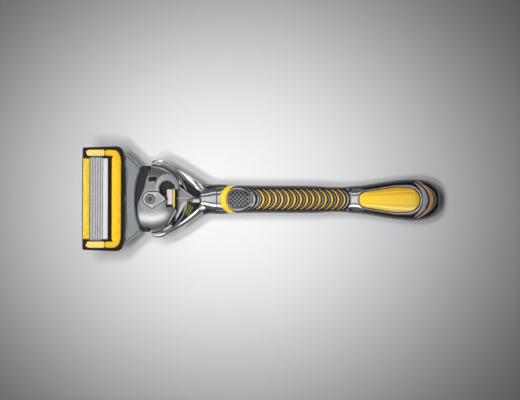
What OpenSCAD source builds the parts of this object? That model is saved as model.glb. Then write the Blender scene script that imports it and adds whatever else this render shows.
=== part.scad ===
// Cartridge razor lying on its back, shaving face up.
// -X is the cartridge end, +X the butt, +Y across, +Z away from the surface it lies on.
// Origin: middle of the footprint, on the surface that the razor rests on.

/* [Cartridge] */
// Width of the cartridge across the blades
cart_w = 42.5; // [40:0.5:45]
// Depth of the housing from cap to guard
cart_d = 16.7; // [16.5:0.1:17]
// Angle that the shaving face leans towards the handle at rest
cart_tilt = 12; // [10:1:13]
// Distance between neighbouring blade edges
blade_pitch = 1.05; // [1:0.01:1.08]
// Length of a blade
blade_l = 33; // [31:0.5:33.5]
// Height of the pitch axis above the resting surface
pitch_z = 11; // [11:0.1:11.4]
// Radius of the two pitch pins
pitch_pin_r = 0.9; // [0.8:0.05:0.95]

/* [Pod] */
// Largest radius of the swivelling pod
pod_r = 14.2; // [14:0.1:14.4]
// Height of the pod's widest ring
pod_z = 9.4; // [9.2:0.1:9.6]
// Rise of the pod's dome above its widest ring
pod_rise = 7.5; // [7.3:0.1:7.6]
// Wall of the pod's chrome cover
shell_t = 1; // [0.8:0.1:1.1]
// Radius of the swivel pin
swivel_pin_r = 1.55; // [1.4:0.05:1.6]
// Travel of the release button
button_travel = 2; // [1.5:0.1:2.1]

/* [Handle] */
// Half width of the grip
grip_hy = 5.5; // [5.2:0.1:5.8]
// Half width of the butt at its widest
butt_hy = 8.5; // [8:0.1:8.8]
// Number of yellow ribs on the grip
rib_count = 14; // [10:1:14]
// Distance between ribs
rib_pitch = 2.53; // [2.3:0.01:2.53]
// Sides of the handle's cross sections
loft_sides = 24; // [16:4:32]

/* [Hidden] */
$fn = 64;
gap = 0.05;

// Places along X
pitch_x = -59.4;
swivel_x = -45;
fork_tip_x = -44.5;
neck_x = -24;
sleeve_x0 = -17.6;
sleeve_x1 = 36.4;
butt_x0 = 38.6;
butt_x = 72.6;

// Cartridge profile, in its own frame: u from cap to guard, w out of the shaving face
u_guard = 3;
u_cap = u_guard - cart_d;
w_plate0 = 1.9;
w_plate1 = 3;
w_rim = 3.7;
w_edge = 4.15;
side_wall = 1.3;
window_u0 = -11;
window_u1 = -5.75;
window_y = blade_l / 2 + 0.55;
blade_t = 0.12;
blade_depth = 0.98;
blade_rake = 22;
support_t = 0.18;
first_edge_u = -10;
strip_y = 16.4;
strip_d = 2.65;
face_w = w_plate1 + 0.01;
clip_y0 = 17.3;
clip_y1 = 19.85;
lug_y0 = 16.4;
lug_y1 = 18.9;
ear_y0 = 13;
ear_y1 = 16.1;
ear_r = 1.55;
cam_drop = 3;
cam_r = 0.8;
cam_y = 1.6;
cam_web_u = 0.3;
cheek_inset = 1.2;
bore_cut = 1;

// Pod interior
core_top = 12.9;
nose_y = 10;
nose_z0 = 6.3;
nose_z1 = 12.6;
nose_x = -53.6;
boss_r = 4.3;
boss_z = 2.85;
boss_h = 1.5;
clip_ledge_z = 11.4;
clip_bore_r = 3.3;
bottom_z = 2.9;
collar_z = 4.4;
collar_h = 9.4;
collar_x = -47.2;
yoke_x0 = -54.9;
yoke_edge_x = -51.2;
yoke_arc_r = 33.5;
yoke_y0 = 18.5;
yoke_y1 = 13.5;
yoke_z0 = 5.2;
yoke_z1 = 13.2;
yoke_d = 5.6;
eject_bar_t = 1.1;
eject_bar_z = 11;
socket_gap = 0.2;
plunger_r = 1.5;
plunger_z = pitch_z - cam_drop;
plunger_tip_x = -59.05;
plunger_end_x = -50.2;
spring_end_x = -47.3;
arm_z0 = 10.7;
arm_z1 = 12.1;
arm_y = 1.6;
arm_tip_x = -51.7;
arm_slot = 0.15;
window_x = -37.7;
window_cy = 4.3;
window_r = 2.9;
window_floor = 5;
rod_y = 1.5;
notch_x = -35.2;
notch_y0 = -9.6;
notch_y1 = 6.2;
leaf_z = 9;
leaf_gap = 0.3;
button_z = 17.1;
button_t = 1.1;
hub_z = 17.61;

// Fork and cradle
cradle_t = 2;
cradle_r = 9;
cradle_gap = 0.55;
arm_low = 5;
arm_high = 12.6;
core_bar_y = 2.6;
core_bar_z0 = 5.2;
core_bar_z1 = 9.4;
core_bar_x1 = 61;

// Handle stations: x, centre height, half width, half height
HANDLE = [
    [-26, 7.9, 7.2, 4.6],
    [-21, 8, 5.9, 5.1],
    [-16, 8.1, 6, 5.6],
    [-8, 8.5, grip_hy + 0.1, 5.7],
    [5, 8.8, grip_hy, 5.7],
    [20, 8.5, grip_hy, 5.5],
    [30, 7.9, grip_hy - 0.5, 5.2],
    [37, 7.1, grip_hy - 0.1, 5.2],
    [45, 6.4, butt_hy - 2, 5.9],
    [54, 6, butt_hy - 0.6, 6.3],
    [62, 5.8, butt_hy, 6.3],
    [68, 5.7, butt_hy - 1, 5.5],
    [71.6, 5.6, butt_hy - 3.6, 3.6],
    [butt_x, 5.6, butt_hy - 5.8, 1.8]
];
loft_steps = 3;
section_power = 0.85;

split_z = 4.6;
accent_r = 8.6;
accent_w = 0.9;
accent_y = 6.9;
band_tip = 66.8;
accent_tip = 67.8;
rib_y = 4;
rib_floor = 11;
silver_lead = 1.2;
silver_w = 0.6;
pad_floor = 10.6;
pad_ring_w = 0.7;
pad_x = -9;
pad_hx = 4.7;
pad_hy = 3.65;
crescent_x = -16.9;
crescent_r = 6.15;
crescent_w = 1.8;
crescent_y = 5.3;
crescent_floor = 9.45;
badge_floor = 9.7;
band_floor = 7;
first_rib_x = 0.5;
rib_r = 4.5;
rib_w = 1;
badge_x0 = 39.7;
badge_x1 = 64.4;
badge_r = 5;
badge_tip_r = 3.3;
badge_mid_x = 54.6;
badge_mid_r = 5.15;
bezel_w = 0.9;

// ---------- shared shapes ----------

// Catmull-Rom point between p1 and p2
function between(p0, p1, p2, p3, t) =
    0.5 * (2 * p1 + (p2 - p0) * t + (2 * p0 - 5 * p1 + 4 * p2 - p3) * t * t
    + (3 * p1 - p0 - 3 * p2 + p3) * t * t * t);

function smooth(pts, n) = concat(
    [for (i = [0:len(pts) - 2], k = [0:n - 1])
        between(pts[max(i - 1, 0)], pts[i], pts[i + 1], pts[min(i + 2, len(pts) - 1)], k / n)],
    [pts[len(pts) - 1]]);

function spow(c, p) = sign(c) * pow(abs(c), p);

// Closed skin through superellipse rings along X, grown outwards by grow
module loft(stations, grow = 0, n = loft_sides) {
    rows = len(stations);
    points = [for (s = stations, j = [0:n - 1])
        [s[0], (s[2] + grow) * spow(cos(360 * j / n), section_power),
         s[1] + (s[3] + grow) * spow(sin(360 * j / n), section_power)]];
    walls = [for (i = [0:rows - 2], j = [0:n - 1], half = [0, 1])
        let (a = i * n + j, b = i * n + (j + 1) % n, c = b + n, d = a + n)
        half == 0 ? [a, d, c] : [a, c, b]];
    ends = [[for (j = [0:n - 1]) j], [for (j = [n - 1:-1:0]) (rows - 1) * n + j]];
    polyhedron(points, concat(walls, ends), convexity = 4);
}

// The handle's skin, cut off flat at two places along X
module handle_skin(x0, x1, grow = 0) {
    margin = 4.5;
    rows = [for (s = smooth(HANDLE, loft_steps)) if (s[0] > x0 - margin && s[0] < x1 + margin) s];
    intersection() {
        loft(rows, grow);
        box([x0, -30, -30], [x1, 30, 30]);
    }
}

// A slice of the handle's outer layer: flat drawing children, from floor_z up to the skin
module on_handle(floor_z, x0, x1, grow = 0) {
    intersection() {
        translate([0, 0, floor_z])
            linear_extrude(20)
                children();
        handle_skin(x0, x1, grow);
    }
}

// Places a shape drawn in the cartridge's own frame
module in_cartridge() {
    translate([pitch_x, 0, pitch_z])
        rotate([0, cart_tilt, 0])
            children();
}

// Box from one corner to the other
module box(lo, hi) {
    translate(lo)
        cube(hi - lo);
}

// Profile drawn in (u, w), carried across the cartridge between two y values
module across(y0, y1) {
    translate([0, y1, 0])
        rotate([90, 0, 0])
            linear_extrude(y1 - y0)
                children();
}

// Cylinder along Y through the pitch axis
module y_cylinder(r, y0, y1, u = 0, w = 0) {
    translate([u, y1, w])
        rotate([90, 0, 0])
            cylinder(r = r, h = y1 - y0);
}

// Cylinder along X
module x_cylinder(r, x0, x1, z) {
    translate([x0, 0, z])
        rotate([0, 90, 0])
            cylinder(r = r, h = x1 - x0);
}

// Coil spring along X as a stack of rings joined by a thin spine
module x_spring(r, wire, x0, x1, turns, z) {
    step = (x1 - x0 - wire) / (turns - 1);
    for (i = [0:turns - 1])
        translate([x0 + wire / 2 + i * step, 0, z])
            rotate([0, 90, 0])
                rotate_extrude($fn = 32)
                    translate([r - wire / 2, 0])
                        circle(d = wire, $fn = 16);
    box([x0 + wire / 4, -wire / 4, z - r + wire / 4], [x1 - wire / 4, wire / 4, z - r + wire * 3 / 4]);
}

// ---------- cartridge ----------

module cartridge_housing() {
    corner = 3.2;
    color("#141414")
    in_cartridge()
    difference() {
        union() {
            translate([0, 0, w_plate0])
                linear_extrude(w_plate1 - w_plate0)
                    housing_outline(corner);
            translate([0, 0, w_plate1 - gap])
                linear_extrude(w_rim - w_plate1 + gap)
                    difference() {
                        housing_outline(corner);
                        translate([u_cap - 1, -clip_y1 - gap])
                            square([u_guard - 0.95 - u_cap + 1, 2 * clip_y1 + 2 * gap]);
                    }
            for (side = [-1, 1]) {
                cheek(side);
                lug(side);
            }
            box([u_cap, -strip_y, 0.9], [u_cap + 1.2, strip_y, w_plate0 + gap]);
            y_cylinder(cam_r, -cam_y, cam_y, 0, -cam_drop);
            box([-cam_r, -cam_y, -cam_drop], [cam_web_u, cam_y, w_plate0 + gap]);
        }
        box([window_u0, -window_y, 0], [window_u1, window_y, w_plate1 + 1]);
        for (side = [-1, 1])
            scale([1, side, 1])
                y_cylinder(pitch_pin_r + gap, lug_y0 - bore_cut, lug_y1 + bore_cut);
    }
}

module housing_outline(corner) {
    hull() {
        for (side = [-1, 1]) {
            translate([u_guard - corner, side * (cart_w / 2 - corner)])
                circle(corner, $fn = 32);
            translate([u_cap + 0.6, side * (cart_w / 2 - 1.1)])
                circle(0.6, $fn = 32);
        }
    }
}

module cheek(side) {
    y1 = cart_w / 2 - cheek_inset;
    y0 = y1 - side_wall;
    scale([1, side, 1])
        across(y0, y1)
            polygon([[u_cap + 1, w_plate0 + gap], [u_cap + 1.6, 0.4], [-4, -0.6],
                [1.2, -0.6], [2.4, w_plate0 + gap]]);
}

module lug(side) {
    lug_r = 1.8;
    scale([1, side, 1])
    union() {
        y_cylinder(lug_r, lug_y0, lug_y1);
        box([-lug_r, lug_y0, 0], [lug_r, lug_y1, w_plate0 + gap]);
    }
}

module cap_strip() {
    color("#e3b71c")
    in_cartridge()
        across(-strip_y, strip_y)
            polygon([[u_cap, face_w], [u_cap, 3.9], [u_cap + 0.6, 4.45], [u_cap + 1.4, 4.6],
                [u_cap + strip_d - 0.4, 4.4], [u_cap + strip_d, 4], [u_cap + strip_d, face_w]]);
}

module guard_strip() {
    bend = 2.5;
    color("#f0c20a")
    in_cartridge()
        translate([0, 0, face_w])
            linear_extrude(1.15)
                difference() {
                    hull() {
                        for (side = [-1, 1])
                            translate([1.9 - bend, side * (clip_y1 - bend)])
                                circle(bend, $fn = 48);
                        translate([-4.8, -clip_y1])
                            square([0.5, 2 * clip_y1]);
                    }
                    hull() {
                        for (side = [-1, 1])
                            translate([-2 - bend / 2, side * (clip_y0 - bend / 2)])
                                circle(bend / 2, $fn = 32);
                        translate([-6, -clip_y0])
                            square([0.5, 2 * clip_y0]);
                    }
                }
}

module rubber_guard() {
    fins = 3;
    fin_pitch = 0.45;
    fin_t = 0.25;
    fin_y = strip_y - 0.3;
    color("#101010")
    in_cartridge()
    union() {
        box([-3.45, -strip_y, face_w], [-2.1, strip_y, 3.5]);
        for (i = [0:fins - 1])
            translate([-3.4 + i * fin_pitch, 0, 0])
                box([0, -fin_y, 3.45], [fin_t, fin_y, w_edge]);
    }
}

module comb_bar() {
    color("#c9ccce")
    in_cartridge()
    difference() {
        across(-strip_y, strip_y)
            polygon([[-5.7, face_w], [-5.7, 3.75], [-5.2, 4.1], [-3.9, w_edge], [-3.5, 3.9],
                [-3.5, face_w]]);
        box([-5.8, -1.2, 3.6], [-5.1, 1.2, 5]);
    }
}

// Cutting edge of blade i in (u, w)
function edge_u(i) = first_edge_u + (i - 1) * blade_pitch;

module blade(i) {
    color("#d9dde0")
    in_cartridge()
        translate([edge_u(i), 0, w_edge])
            rotate([0, -blade_rake, 0])
                across(-blade_l / 2, blade_l / 2)
                    polygon([[0, 0], [-0.3, 0], [-blade_depth, 0], [-blade_depth, -blade_t],
                        [-0.3, -blade_t]]);
}

module blade_support(i) {
    leg = 2.2;
    leg_u = edge_u(i) - 0.86;
    front_u = -0.36;
    half_l = window_y - 0.02;
    color("#9aa0a4")
    in_cartridge()
    union() {
        translate([edge_u(i), 0, w_edge])
            rotate([0, -blade_rake, 0])
                across(-half_l, half_l)
                    polygon([[front_u, -blade_t - 0.01], [-blade_depth, -blade_t - 0.01],
                        [-blade_depth, -blade_t - support_t], [front_u, -blade_t - support_t]]);
        box([leg_u, -half_l, w_edge - 0.4 - leg], [leg_u + support_t, half_l, w_edge - 0.5]);
    }
}

module end_clip(side) {
    color("#e6c64a")
    in_cartridge()
    scale([1, side, 1])
    translate([0, 0, face_w])
        linear_extrude(0.9)
            polygon([[-4.85, clip_y0], [-4.85, clip_y1], [-11.4, clip_y1], [-12.7, clip_y1 - 0.7],
                [-11.9, clip_y0]]);
}

module trimmer_blade() {
    color("#c8cccf")
    in_cartridge()
        across(-13, 13)
            polygon([[u_cap + 0.05, 0.88], [u_cap + 0.2, 0.74], [u_cap + 2.6, 0.74], [u_cap + 2.6, 0.88]]);
}

// ---------- yoke ----------

// Plan of the yoke: a trapezoid that ends on a shallow hollow arc
module yoke_plan() {
    difference() {
        polygon([[yoke_x0, -yoke_y0], [yoke_x0, yoke_y0], [yoke_x0 + yoke_d, yoke_y1],
            [yoke_x0 + yoke_d, -yoke_y1]]);
        translate([yoke_edge_x + yoke_arc_r, 0])
            circle(yoke_arc_r, $fn = 128);
    }
}

// Wedge and ears, with the socket for the pod's nose and the bar that the ejector pushes
module yoke() {
    socket_y = nose_y + socket_gap;
    color("#8d9398")
    union() {
        difference() {
            union() {
                translate([0, 0, yoke_z0])
                    linear_extrude(yoke_z1 - yoke_z0)
                        yoke_plan();
                for (side = [-1, 1])
                    scale([1, side, 1])
                    translate([pitch_x, 0, pitch_z]) {
                        y_cylinder(ear_r, ear_y0, ear_y1);
                        box([0, ear_y0, -ear_r], [yoke_x0 - pitch_x + 0.2, ear_y1, 0.7]);
                    }
            }
            box([yoke_x0 - 1, -socket_y, nose_z0 - socket_gap],
                [yoke_x0 + 8, socket_y, nose_z1 + socket_gap]);
            for (side = [-1, 1])
                scale([1, side, 1])
                    translate([pitch_x, 0, pitch_z])
                        y_cylinder(pitch_pin_r + gap, ear_y0 - bore_cut, ear_y1 + bore_cut);
        }
        box([yoke_x0, -socket_y - gap, eject_bar_z],
            [yoke_x0 + eject_bar_t, socket_y + gap, nose_z1 + socket_gap + gap]);
    }
}

module pitch_pins() {
    color("#b9bdc1")
    for (side = [-1, 1])
        scale([1, side, 1])
            translate([pitch_x, 0, pitch_z])
                y_cylinder(pitch_pin_r, ear_y0 + 0.2, lug_y1 - 0.3);
}

// ---------- pod ----------

// Half profile of the pod's dome, inset by t, between two heights
module dome_profile(t, z0, z1) {
    steps = 14;
    intersection() {
        polygon(concat([[0, -20]], [for (i = [-steps:steps])
            let (a = 90 * i / steps)
            [(pod_r - t) * cos(a), pod_z + (pod_rise - t) * sin(a)]], [[0, 20]]));
        translate([0, z0])
            square([pod_r + 1, z1 - z0]);
    }
}

module pod_revolve(t, z0, z1) {
    translate([swivel_x, 0, 0])
        rotate_extrude($fn = 96)
            dome_profile(t, z0, z1);
}

// Space at the back of the pod where the return leaf lies
module leaf_notch(z0) {
    box([notch_x, notch_y0, z0], [notch_x + 12, notch_y1, 20]);
}

module pod_body() {
    color("#2a2c2e")
    difference() {
        union() {
            intersection() {
                pod_revolve(shell_t + gap, 3.8, core_top);
                box([collar_x + gap, -20, 0], [0, 20, 20]);
            }
            translate([swivel_x, 0, boss_z])
                cylinder(r = boss_r, h = boss_h);
            box([nose_x, -nose_y, nose_z0], [collar_x + 1, nose_y, nose_z1]);
        }
        translate([swivel_x, 0, 0])
            cylinder(r = swivel_pin_r + gap, h = 20);
        translate([swivel_x, 0, clip_ledge_z])
            cylinder(r = clip_bore_r, h = 5);
        x_cylinder(plunger_r + 0.15, nose_x - 1, spring_end_x, plunger_z);
        box([nose_x - 1, -arm_y - arm_slot, arm_z0 - arm_slot], [swivel_x - 1.5, arm_y + arm_slot, 20]);
        translate([window_x, window_cy, window_floor])
            cylinder(r = window_r, h = 12);
        leaf_notch(leaf_z - leaf_gap);
    }
}

module pod_cover() {
    color("#c3c7ca")
    difference() {
        pod_revolve(0, bottom_z, 20);
        pod_revolve(shell_t, 0, 20);
        box([-80, -20, 0], [collar_x, 20, 20]);
        translate([swivel_x, 0, 0])
            cylinder(r = boss_r + 0.2, h = 6);
        translate([window_x, window_cy, window_floor])
            cylinder(r = window_r + 0.45, h = 14);
        box([swivel_x - 1.8, -1.4, 12], [swivel_x + 2.2, 1.4, 20]);
        leaf_notch(leaf_z - leaf_gap);
    }
}

module dock_collar() {
    color("#1b1c1e")
    difference() {
        translate([0, 0, collar_z])
            linear_extrude(collar_h)
                intersection() {
                    translate([yoke_edge_x + yoke_arc_r + 0.1, 0])
                        circle(yoke_arc_r, $fn = 128);
                    translate([-60, -yoke_y1 + 0.05])
                        square([60 + collar_x - gap, 2 * yoke_y1 - 0.1]);
                }
        box([-60, -nose_y - gap, nose_z0 - gap], [-40, nose_y + gap, nose_z1 + gap]);
        box([-60, -arm_y - arm_slot, nose_z1], [-40, arm_y + arm_slot, 20]);
    }
}

module window_ring() {
    color("#e4e6e8")
    translate([window_x, window_cy, 12.95])
        difference() {
            cylinder(r = window_r + 0.4, h = 2.9);
            translate([0, 0, -1])
                cylinder(r = window_r - 0.3, h = 5);
            translate([-0.4, -5, -1])
                cube([6, 4, 6]);
        }
}

module window_insert() {
    insert_h = 5.2;
    color("#d8c6cc")
    translate([window_x, window_cy, window_floor + 0.01])
        intersection() {
            cylinder(r = window_r - 0.1, h = insert_h);
            translate([0.2, -4, 0])
                cube([1.7, 7, insert_h]);
        }
}

module window_rod() {
    color("#e2c62e")
    translate([window_x + 1.95, window_cy - rod_y, window_floor + 0.01])
        cube([0.45, 2 * rod_y, 6.4]);
}

module return_leaf() {
    color("#8f8c90")
    union() {
        translate([0, 0, leaf_z])
            linear_extrude(0.6)
                polygon([[-35, 5.9], [-33.6, 5.9], [-27.2, 0.7], [-24.4, 0.5], [-24.4, -0.1],
                    [-27.2, -0.3], [-30.9, -6.2], [-34.4, -9.3], [-35, -9.3]]);
        box([-34.6, 0.1, leaf_z + 0.6], [-27.2, 0.3, leaf_z + 0.85]);
    }
}

module plunger() {
    color("#6d7175")
    union() {
        x_cylinder(plunger_r, plunger_tip_x + 1, plunger_end_x, plunger_z);
        x_cylinder(plunger_r - 0.3, plunger_tip_x, plunger_tip_x + 1.05, plunger_z);
    }
}

module plunger_spring() {
    color("#b4b8bb")
        x_spring(plunger_r - 0.1, 0.3, plunger_end_x + 0.02, spring_end_x - 0.02, 4, plunger_z);
}

// Plan of the release button: a round hub drawn out to a pick with a blunt tip
module button_plan(r) {
    hull() {
        circle(r, $fn = 48);
        translate([3.5, 2.3])
            circle(0.5, $fn = 24);
        translate([5.6, -0.1])
            circle(0.6, $fn = 24);
        translate([0.9, -3.4])
            circle(0.4, $fn = 24);
    }
}

module release_button() {
    color("#b9bcbf")
    difference() {
        union() {
            translate([swivel_x, 0, button_z])
                linear_extrude(button_t)
                    button_plan(2.9);
            box([swivel_x + 0.2, -1, 14.4], [swivel_x + 1.9, 1, button_z + 0.1]);
        }
        translate([swivel_x, 0, hub_z - 0.01])
            cylinder(r = 2, h = 3);
    }
}

module button_hub() {
    color("#3a3d40")
    translate([swivel_x, 0, hub_z])
    difference() {
        cylinder(r = 1.95, h = 0.9);
        translate([0, 0, 0.3])
            cylinder(r = 1.2, h = 2, $fn = 6);
    }
}

module ejector_arm() {
    color("#4c5054")
    union() {
        box([swivel_x - 3.4, -1.1, 13.35], [swivel_x + 1.9, 1.1, 14.39]);
        box([swivel_x - 3.4, -1.1, arm_z0 + 0.1], [swivel_x - 2.4, 1.1, 13.4]);
        box([arm_tip_x, -arm_y + 0.1, arm_z0 + 0.1], [swivel_x - 2.4, arm_y - 0.1, arm_z1]);
    }
}

module button_spring() {
    color("#b4b8bb")
        x_spring(0.6, 0.2, swivel_x + 1.95, swivel_x + 4.6, 5, 13.7);
}

// ---------- handle ----------

// Plan of the fork: two arms that curve round the pod and meet in the neck
module fork_plan() {
    difference() {
        polygon([[fork_tip_x, 15.7], [-42.1, 16.2], [-37.9, 14.9], [-31.7, 11.1], [-27, 8.4],
            [-22.6, 6.2], [sleeve_x0 - 2, 5.4],
            [sleeve_x0 - 2, -5.4], [-22.6, -6.2], [-27, -8.4], [-31.7, -11.1], [-37.9, -14.9],
            [-42.1, -16.2], [fork_tip_x, -15.7]]);
        translate([swivel_x, 0])
            circle(pod_r + cradle_gap, $fn = 128);
        polygon([[-40, 11.8], [-33.5, 10], [-29.5, 6.9], [-25.4, 2.2], [-25.4, -2.2],
            [-29.5, -6.9], [-33.5, -10], [-40, -11.8]]);
    }
}

module handle_frame() {
    color("#bfc3c6")
    difference() {
        union() {
            translate([0, 0, arm_low])
                linear_extrude(arm_high - arm_low)
                    fork_plan();
            handle_skin(neck_x, sleeve_x0);
            box([sleeve_x0 - 1, -core_bar_y, core_bar_z0], [core_bar_x1, core_bar_y, core_bar_z1]);
            linear_extrude(cradle_t) {
                translate([swivel_x, 0])
                    circle(cradle_r);
                polygon([[swivel_x + 4, -8.05], [swivel_x + 4, 8.05], [-26, 5], [-19, 3.4], [-19, -3.4],
                    [-26, -5]]);
            }
            translate([0, 0, cradle_t - gap])
                linear_extrude(arm_low - cradle_t + 2 * gap)
                    polygon([[-27.5, -4.8], [-27.5, 4.8], [-19, 3.4], [-19, -3.4]]);
        }
        translate([swivel_x, 0, -1])
            cylinder(r = swivel_pin_r + gap, h = 5);
        translate([swivel_x, 0, -1])
            cylinder(r = 2.7, h = 2.1);
        box([-26, -0.7, leaf_z - 0.4], [-23.6, 1.1, leaf_z + 1.2]);
    }
}

module swivel_pin() {
    color("#a9adb0")
    difference() {
        translate([swivel_x, 0, 0])
        union() {
            translate([0, 0, 0.3])
                cylinder(r = 2.6, h = 0.75);
            translate([0, 0, 0.3])
                cylinder(r = swivel_pin_r, h = 12.3);
        }
        translate([swivel_x, 0, 11.65])
            rotate_extrude()
                translate([1.3, 0])
                    square([2, 0.5]);
        translate([swivel_x, 0, 0])
            cylinder(r = 0.9, h = 0.9, $fn = 6);
    }
}

module retaining_clip() {
    color("#55585a")
    translate([swivel_x, 0, 11.7])
    difference() {
        cylinder(r = 2.25, h = 0.4);
        translate([0, 0, -1])
            cylinder(r = 1.35, h = 3);
        translate([0, -0.9, -1])
            cube([4, 1.8, 3]);
    }
}

module thrust_washer() {
    color("#e8e6df")
    translate([swivel_x, 0, cradle_t + 0.01])
    difference() {
        cylinder(r = 4, h = 0.8);
        translate([0, 0, -1])
            cylinder(r = swivel_pin_r + 0.1, h = 3);
    }
}

// Flat drawing of the pad at the front of the grip
module pad_plan(grow = 0) {
    translate([pad_x, 0])
        intersection() {
            translate([-pad_hx * 0.55 - grow, 0])
                circle(pad_hx * 1.55 + 2 * grow, $fn = 96);
            translate([pad_hx * 0.2, 0])
                circle(pad_hx * 1.2 + grow, $fn = 96);
            translate([-20, -pad_hy - grow])
                square([40, 2 * (pad_hy + grow)]);
        }
}

// Ring segment, opening towards -X, whose outer edge touches x = tip
module crescent(tip, r, w, reach) {
    intersection() {
        difference() {
            translate([tip + r, 0])
                circle(r, $fn = 64);
            translate([tip + r + w, 0])
                circle(r, $fn = 64);
        }
        translate([tip - 1, -reach])
            square([r, 2 * reach]);
    }
}

// Arc that bulges towards +X at x = tip, as the grip's ribs do
module rib(tip, w) {
    mirror([1, 0])
        crescent(-tip, rib_r, w, rib_y);
}

function rib_x(i) = first_rib_x + 1 + i * rib_pitch;

module grip_sleeve() {
    color("#17181a")
    difference() {
        handle_skin(sleeve_x0, sleeve_x1);
        box([sleeve_x0 - 1, -core_bar_y - gap, core_bar_z0 - gap],
            [sleeve_x1 + 3, core_bar_y + gap, core_bar_z1 + gap]);
        translate([0, 0, pad_floor])
            linear_extrude(10)
                pad_plan(pad_ring_w + gap);
        translate([0, 0, rib_floor])
            linear_extrude(10)
                for (i = [0:rib_count - 1]) {
                    rib(rib_x(i), rib_w);
                    rib(rib_x(i) - silver_lead, silver_w);
                }
        translate([0, 0, crescent_floor])
            linear_extrude(10)
                crescent(crescent_x - gap, crescent_r, crescent_w + 2 * gap, crescent_y + 0.1);
    }
}

module front_crescent() {
    color("#e9c52f")
    on_handle(crescent_floor + gap, sleeve_x0, 10, -0.05)
        crescent(crescent_x, crescent_r, crescent_w, crescent_y);
}

module thumb_pad() {
    color("#9fa4a8")
    on_handle(pad_floor + gap, sleeve_x0, 10, 0.15)
        pad_plan();
}

module thumb_pad_ring() {
    color("#d6d9db")
    on_handle(pad_floor + gap, sleeve_x0, 10, 0.05)
        difference() {
            pad_plan(pad_ring_w);
            pad_plan(0.05);
        }
}

module rib_inlay_yellow() {
    color("#d9b325")
    on_handle(rib_floor + gap, sleeve_x0, sleeve_x1, 0.1)
        for (i = [0:rib_count - 1])
            rib(rib_x(i), rib_w - gap);
}

module rib_inlay_silver() {
    color("#a8acaf")
    on_handle(rib_floor + gap, sleeve_x0, sleeve_x1, 0.05)
        for (i = [0:rib_count - 1])
            rib(rib_x(i) - silver_lead, silver_w - gap);
}

module waist_ring() {
    color("#cfd2d4")
    difference() {
        handle_skin(sleeve_x1, butt_x0, -0.1);
        box([sleeve_x1 - 1, -core_bar_y - gap, core_bar_z0 - gap],
            [41, core_bar_y + gap, core_bar_z1 + gap]);
    }
}

// Egg-shaped plan of the badge, narrower towards the grip
module badge_plan(grow = 0) {
    hull() {
        translate([badge_x0 + badge_tip_r, 0])
            circle(badge_tip_r + grow, $fn = 48);
        translate([badge_mid_x, 0])
            circle(badge_mid_r + grow, $fn = 64);
        translate([badge_x1 - badge_r, 0])
            circle(badge_r + grow, $fn = 64);
    }
}

module butt_shell() {
    color("#121314")
    difference() {
        handle_skin(butt_x0, butt_x + 1);
        box([0, -20, -10], [100, 20, split_z]);
        box([0, -core_bar_y - gap, core_bar_z0 - gap], [core_bar_x1 + gap, core_bar_y + gap, core_bar_z1 + gap]);
        translate([0, 0, badge_floor])
            linear_extrude(10)
                badge_plan(bezel_w + gap);
        translate([0, 0, band_floor])
            linear_extrude(10)
                crescent_right((band_tip + accent_tip) / 2, accent_w + accent_tip - band_tip + 2 * gap,
                    accent_y + 0.1);
    }
}

// Crescent centred on x at its middle, w wide there, with its horns towards the grip
module crescent_right(x, w, reach) {
    intersection() {
        difference() {
            translate([x - accent_r + w / 2, 0])
                circle(accent_r, $fn = 96);
            translate([x - accent_r - w / 2, 0])
                circle(accent_r, $fn = 96);
        }
        translate([x - accent_r * 0.8, -reach])
            square([accent_r * 2, 2 * reach]);
    }
}

module butt_back() {
    color("#1c1d1f")
    difference() {
        handle_skin(butt_x0, butt_x + 1);
        box([0, -20, split_z - 0.02], [100, 20, 40]);
        box([0, -20, -10], [100, 20, 0]);
    }
}

module badge_bezel() {
    color("#d9dcde")
    on_handle(badge_floor + gap, 37, butt_x, 0.1)
        difference() {
            badge_plan(bezel_w);
            badge_plan(gap);
        }
}

module badge_lens() {
    color("#f2cf1d")
    on_handle(badge_floor + gap, 37, butt_x, 0.25)
        badge_plan();
}

module butt_band() {
    color("#9a9ea1")
    on_handle(band_floor + gap, 60, butt_x, 0.02)
        crescent_right(band_tip, accent_w, accent_y);
}

module butt_accent() {
    color("#c98f3a")
    on_handle(band_floor + gap, 60, butt_x, 0.02)
        crescent_right(accent_tip, accent_w, accent_y);
}

cartridge_housing();
cap_strip();
guard_strip();
rubber_guard();
comb_bar();
blade(1);  // blade_1
blade(2);  // blade_2
blade(3);  // blade_3
blade(4);  // blade_4
blade(5);  // blade_5
blade_support(1);  // blade_support_1
blade_support(2);  // blade_support_2
blade_support(3);  // blade_support_3
blade_support(4);  // blade_support_4
blade_support(5);  // blade_support_5
end_clip(1);  // end_clip_left
end_clip(-1);  // end_clip_right
trimmer_blade();
yoke();
pitch_pins();
pod_body();
pod_cover();
dock_collar();
window_ring();
window_insert();
window_rod();
return_leaf();
plunger();
plunger_spring();
release_button();
button_hub();
ejector_arm();
button_spring();
handle_frame();
swivel_pin();
retaining_clip();
thrust_washer();
grip_sleeve();
front_crescent();
thumb_pad();
thumb_pad_ring();
rib_inlay_yellow();
rib_inlay_silver();
waist_ring();
butt_shell();
butt_back();
badge_bezel();
badge_lens();
butt_band();
butt_accent();
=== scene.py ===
"""Cartridge razor lying on its back on a pale floor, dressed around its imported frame.

Shapes are worked out in millimetres, in the frame's own axes, and are put into the meshes in metres.
-X is the cartridge end, +X the butt, +Y across, and +Z away from the floor.
"""

import logging
import math
from dataclasses import dataclass, field
from enum import Enum
from functools import partial
from typing import Callable, Sequence

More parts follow.
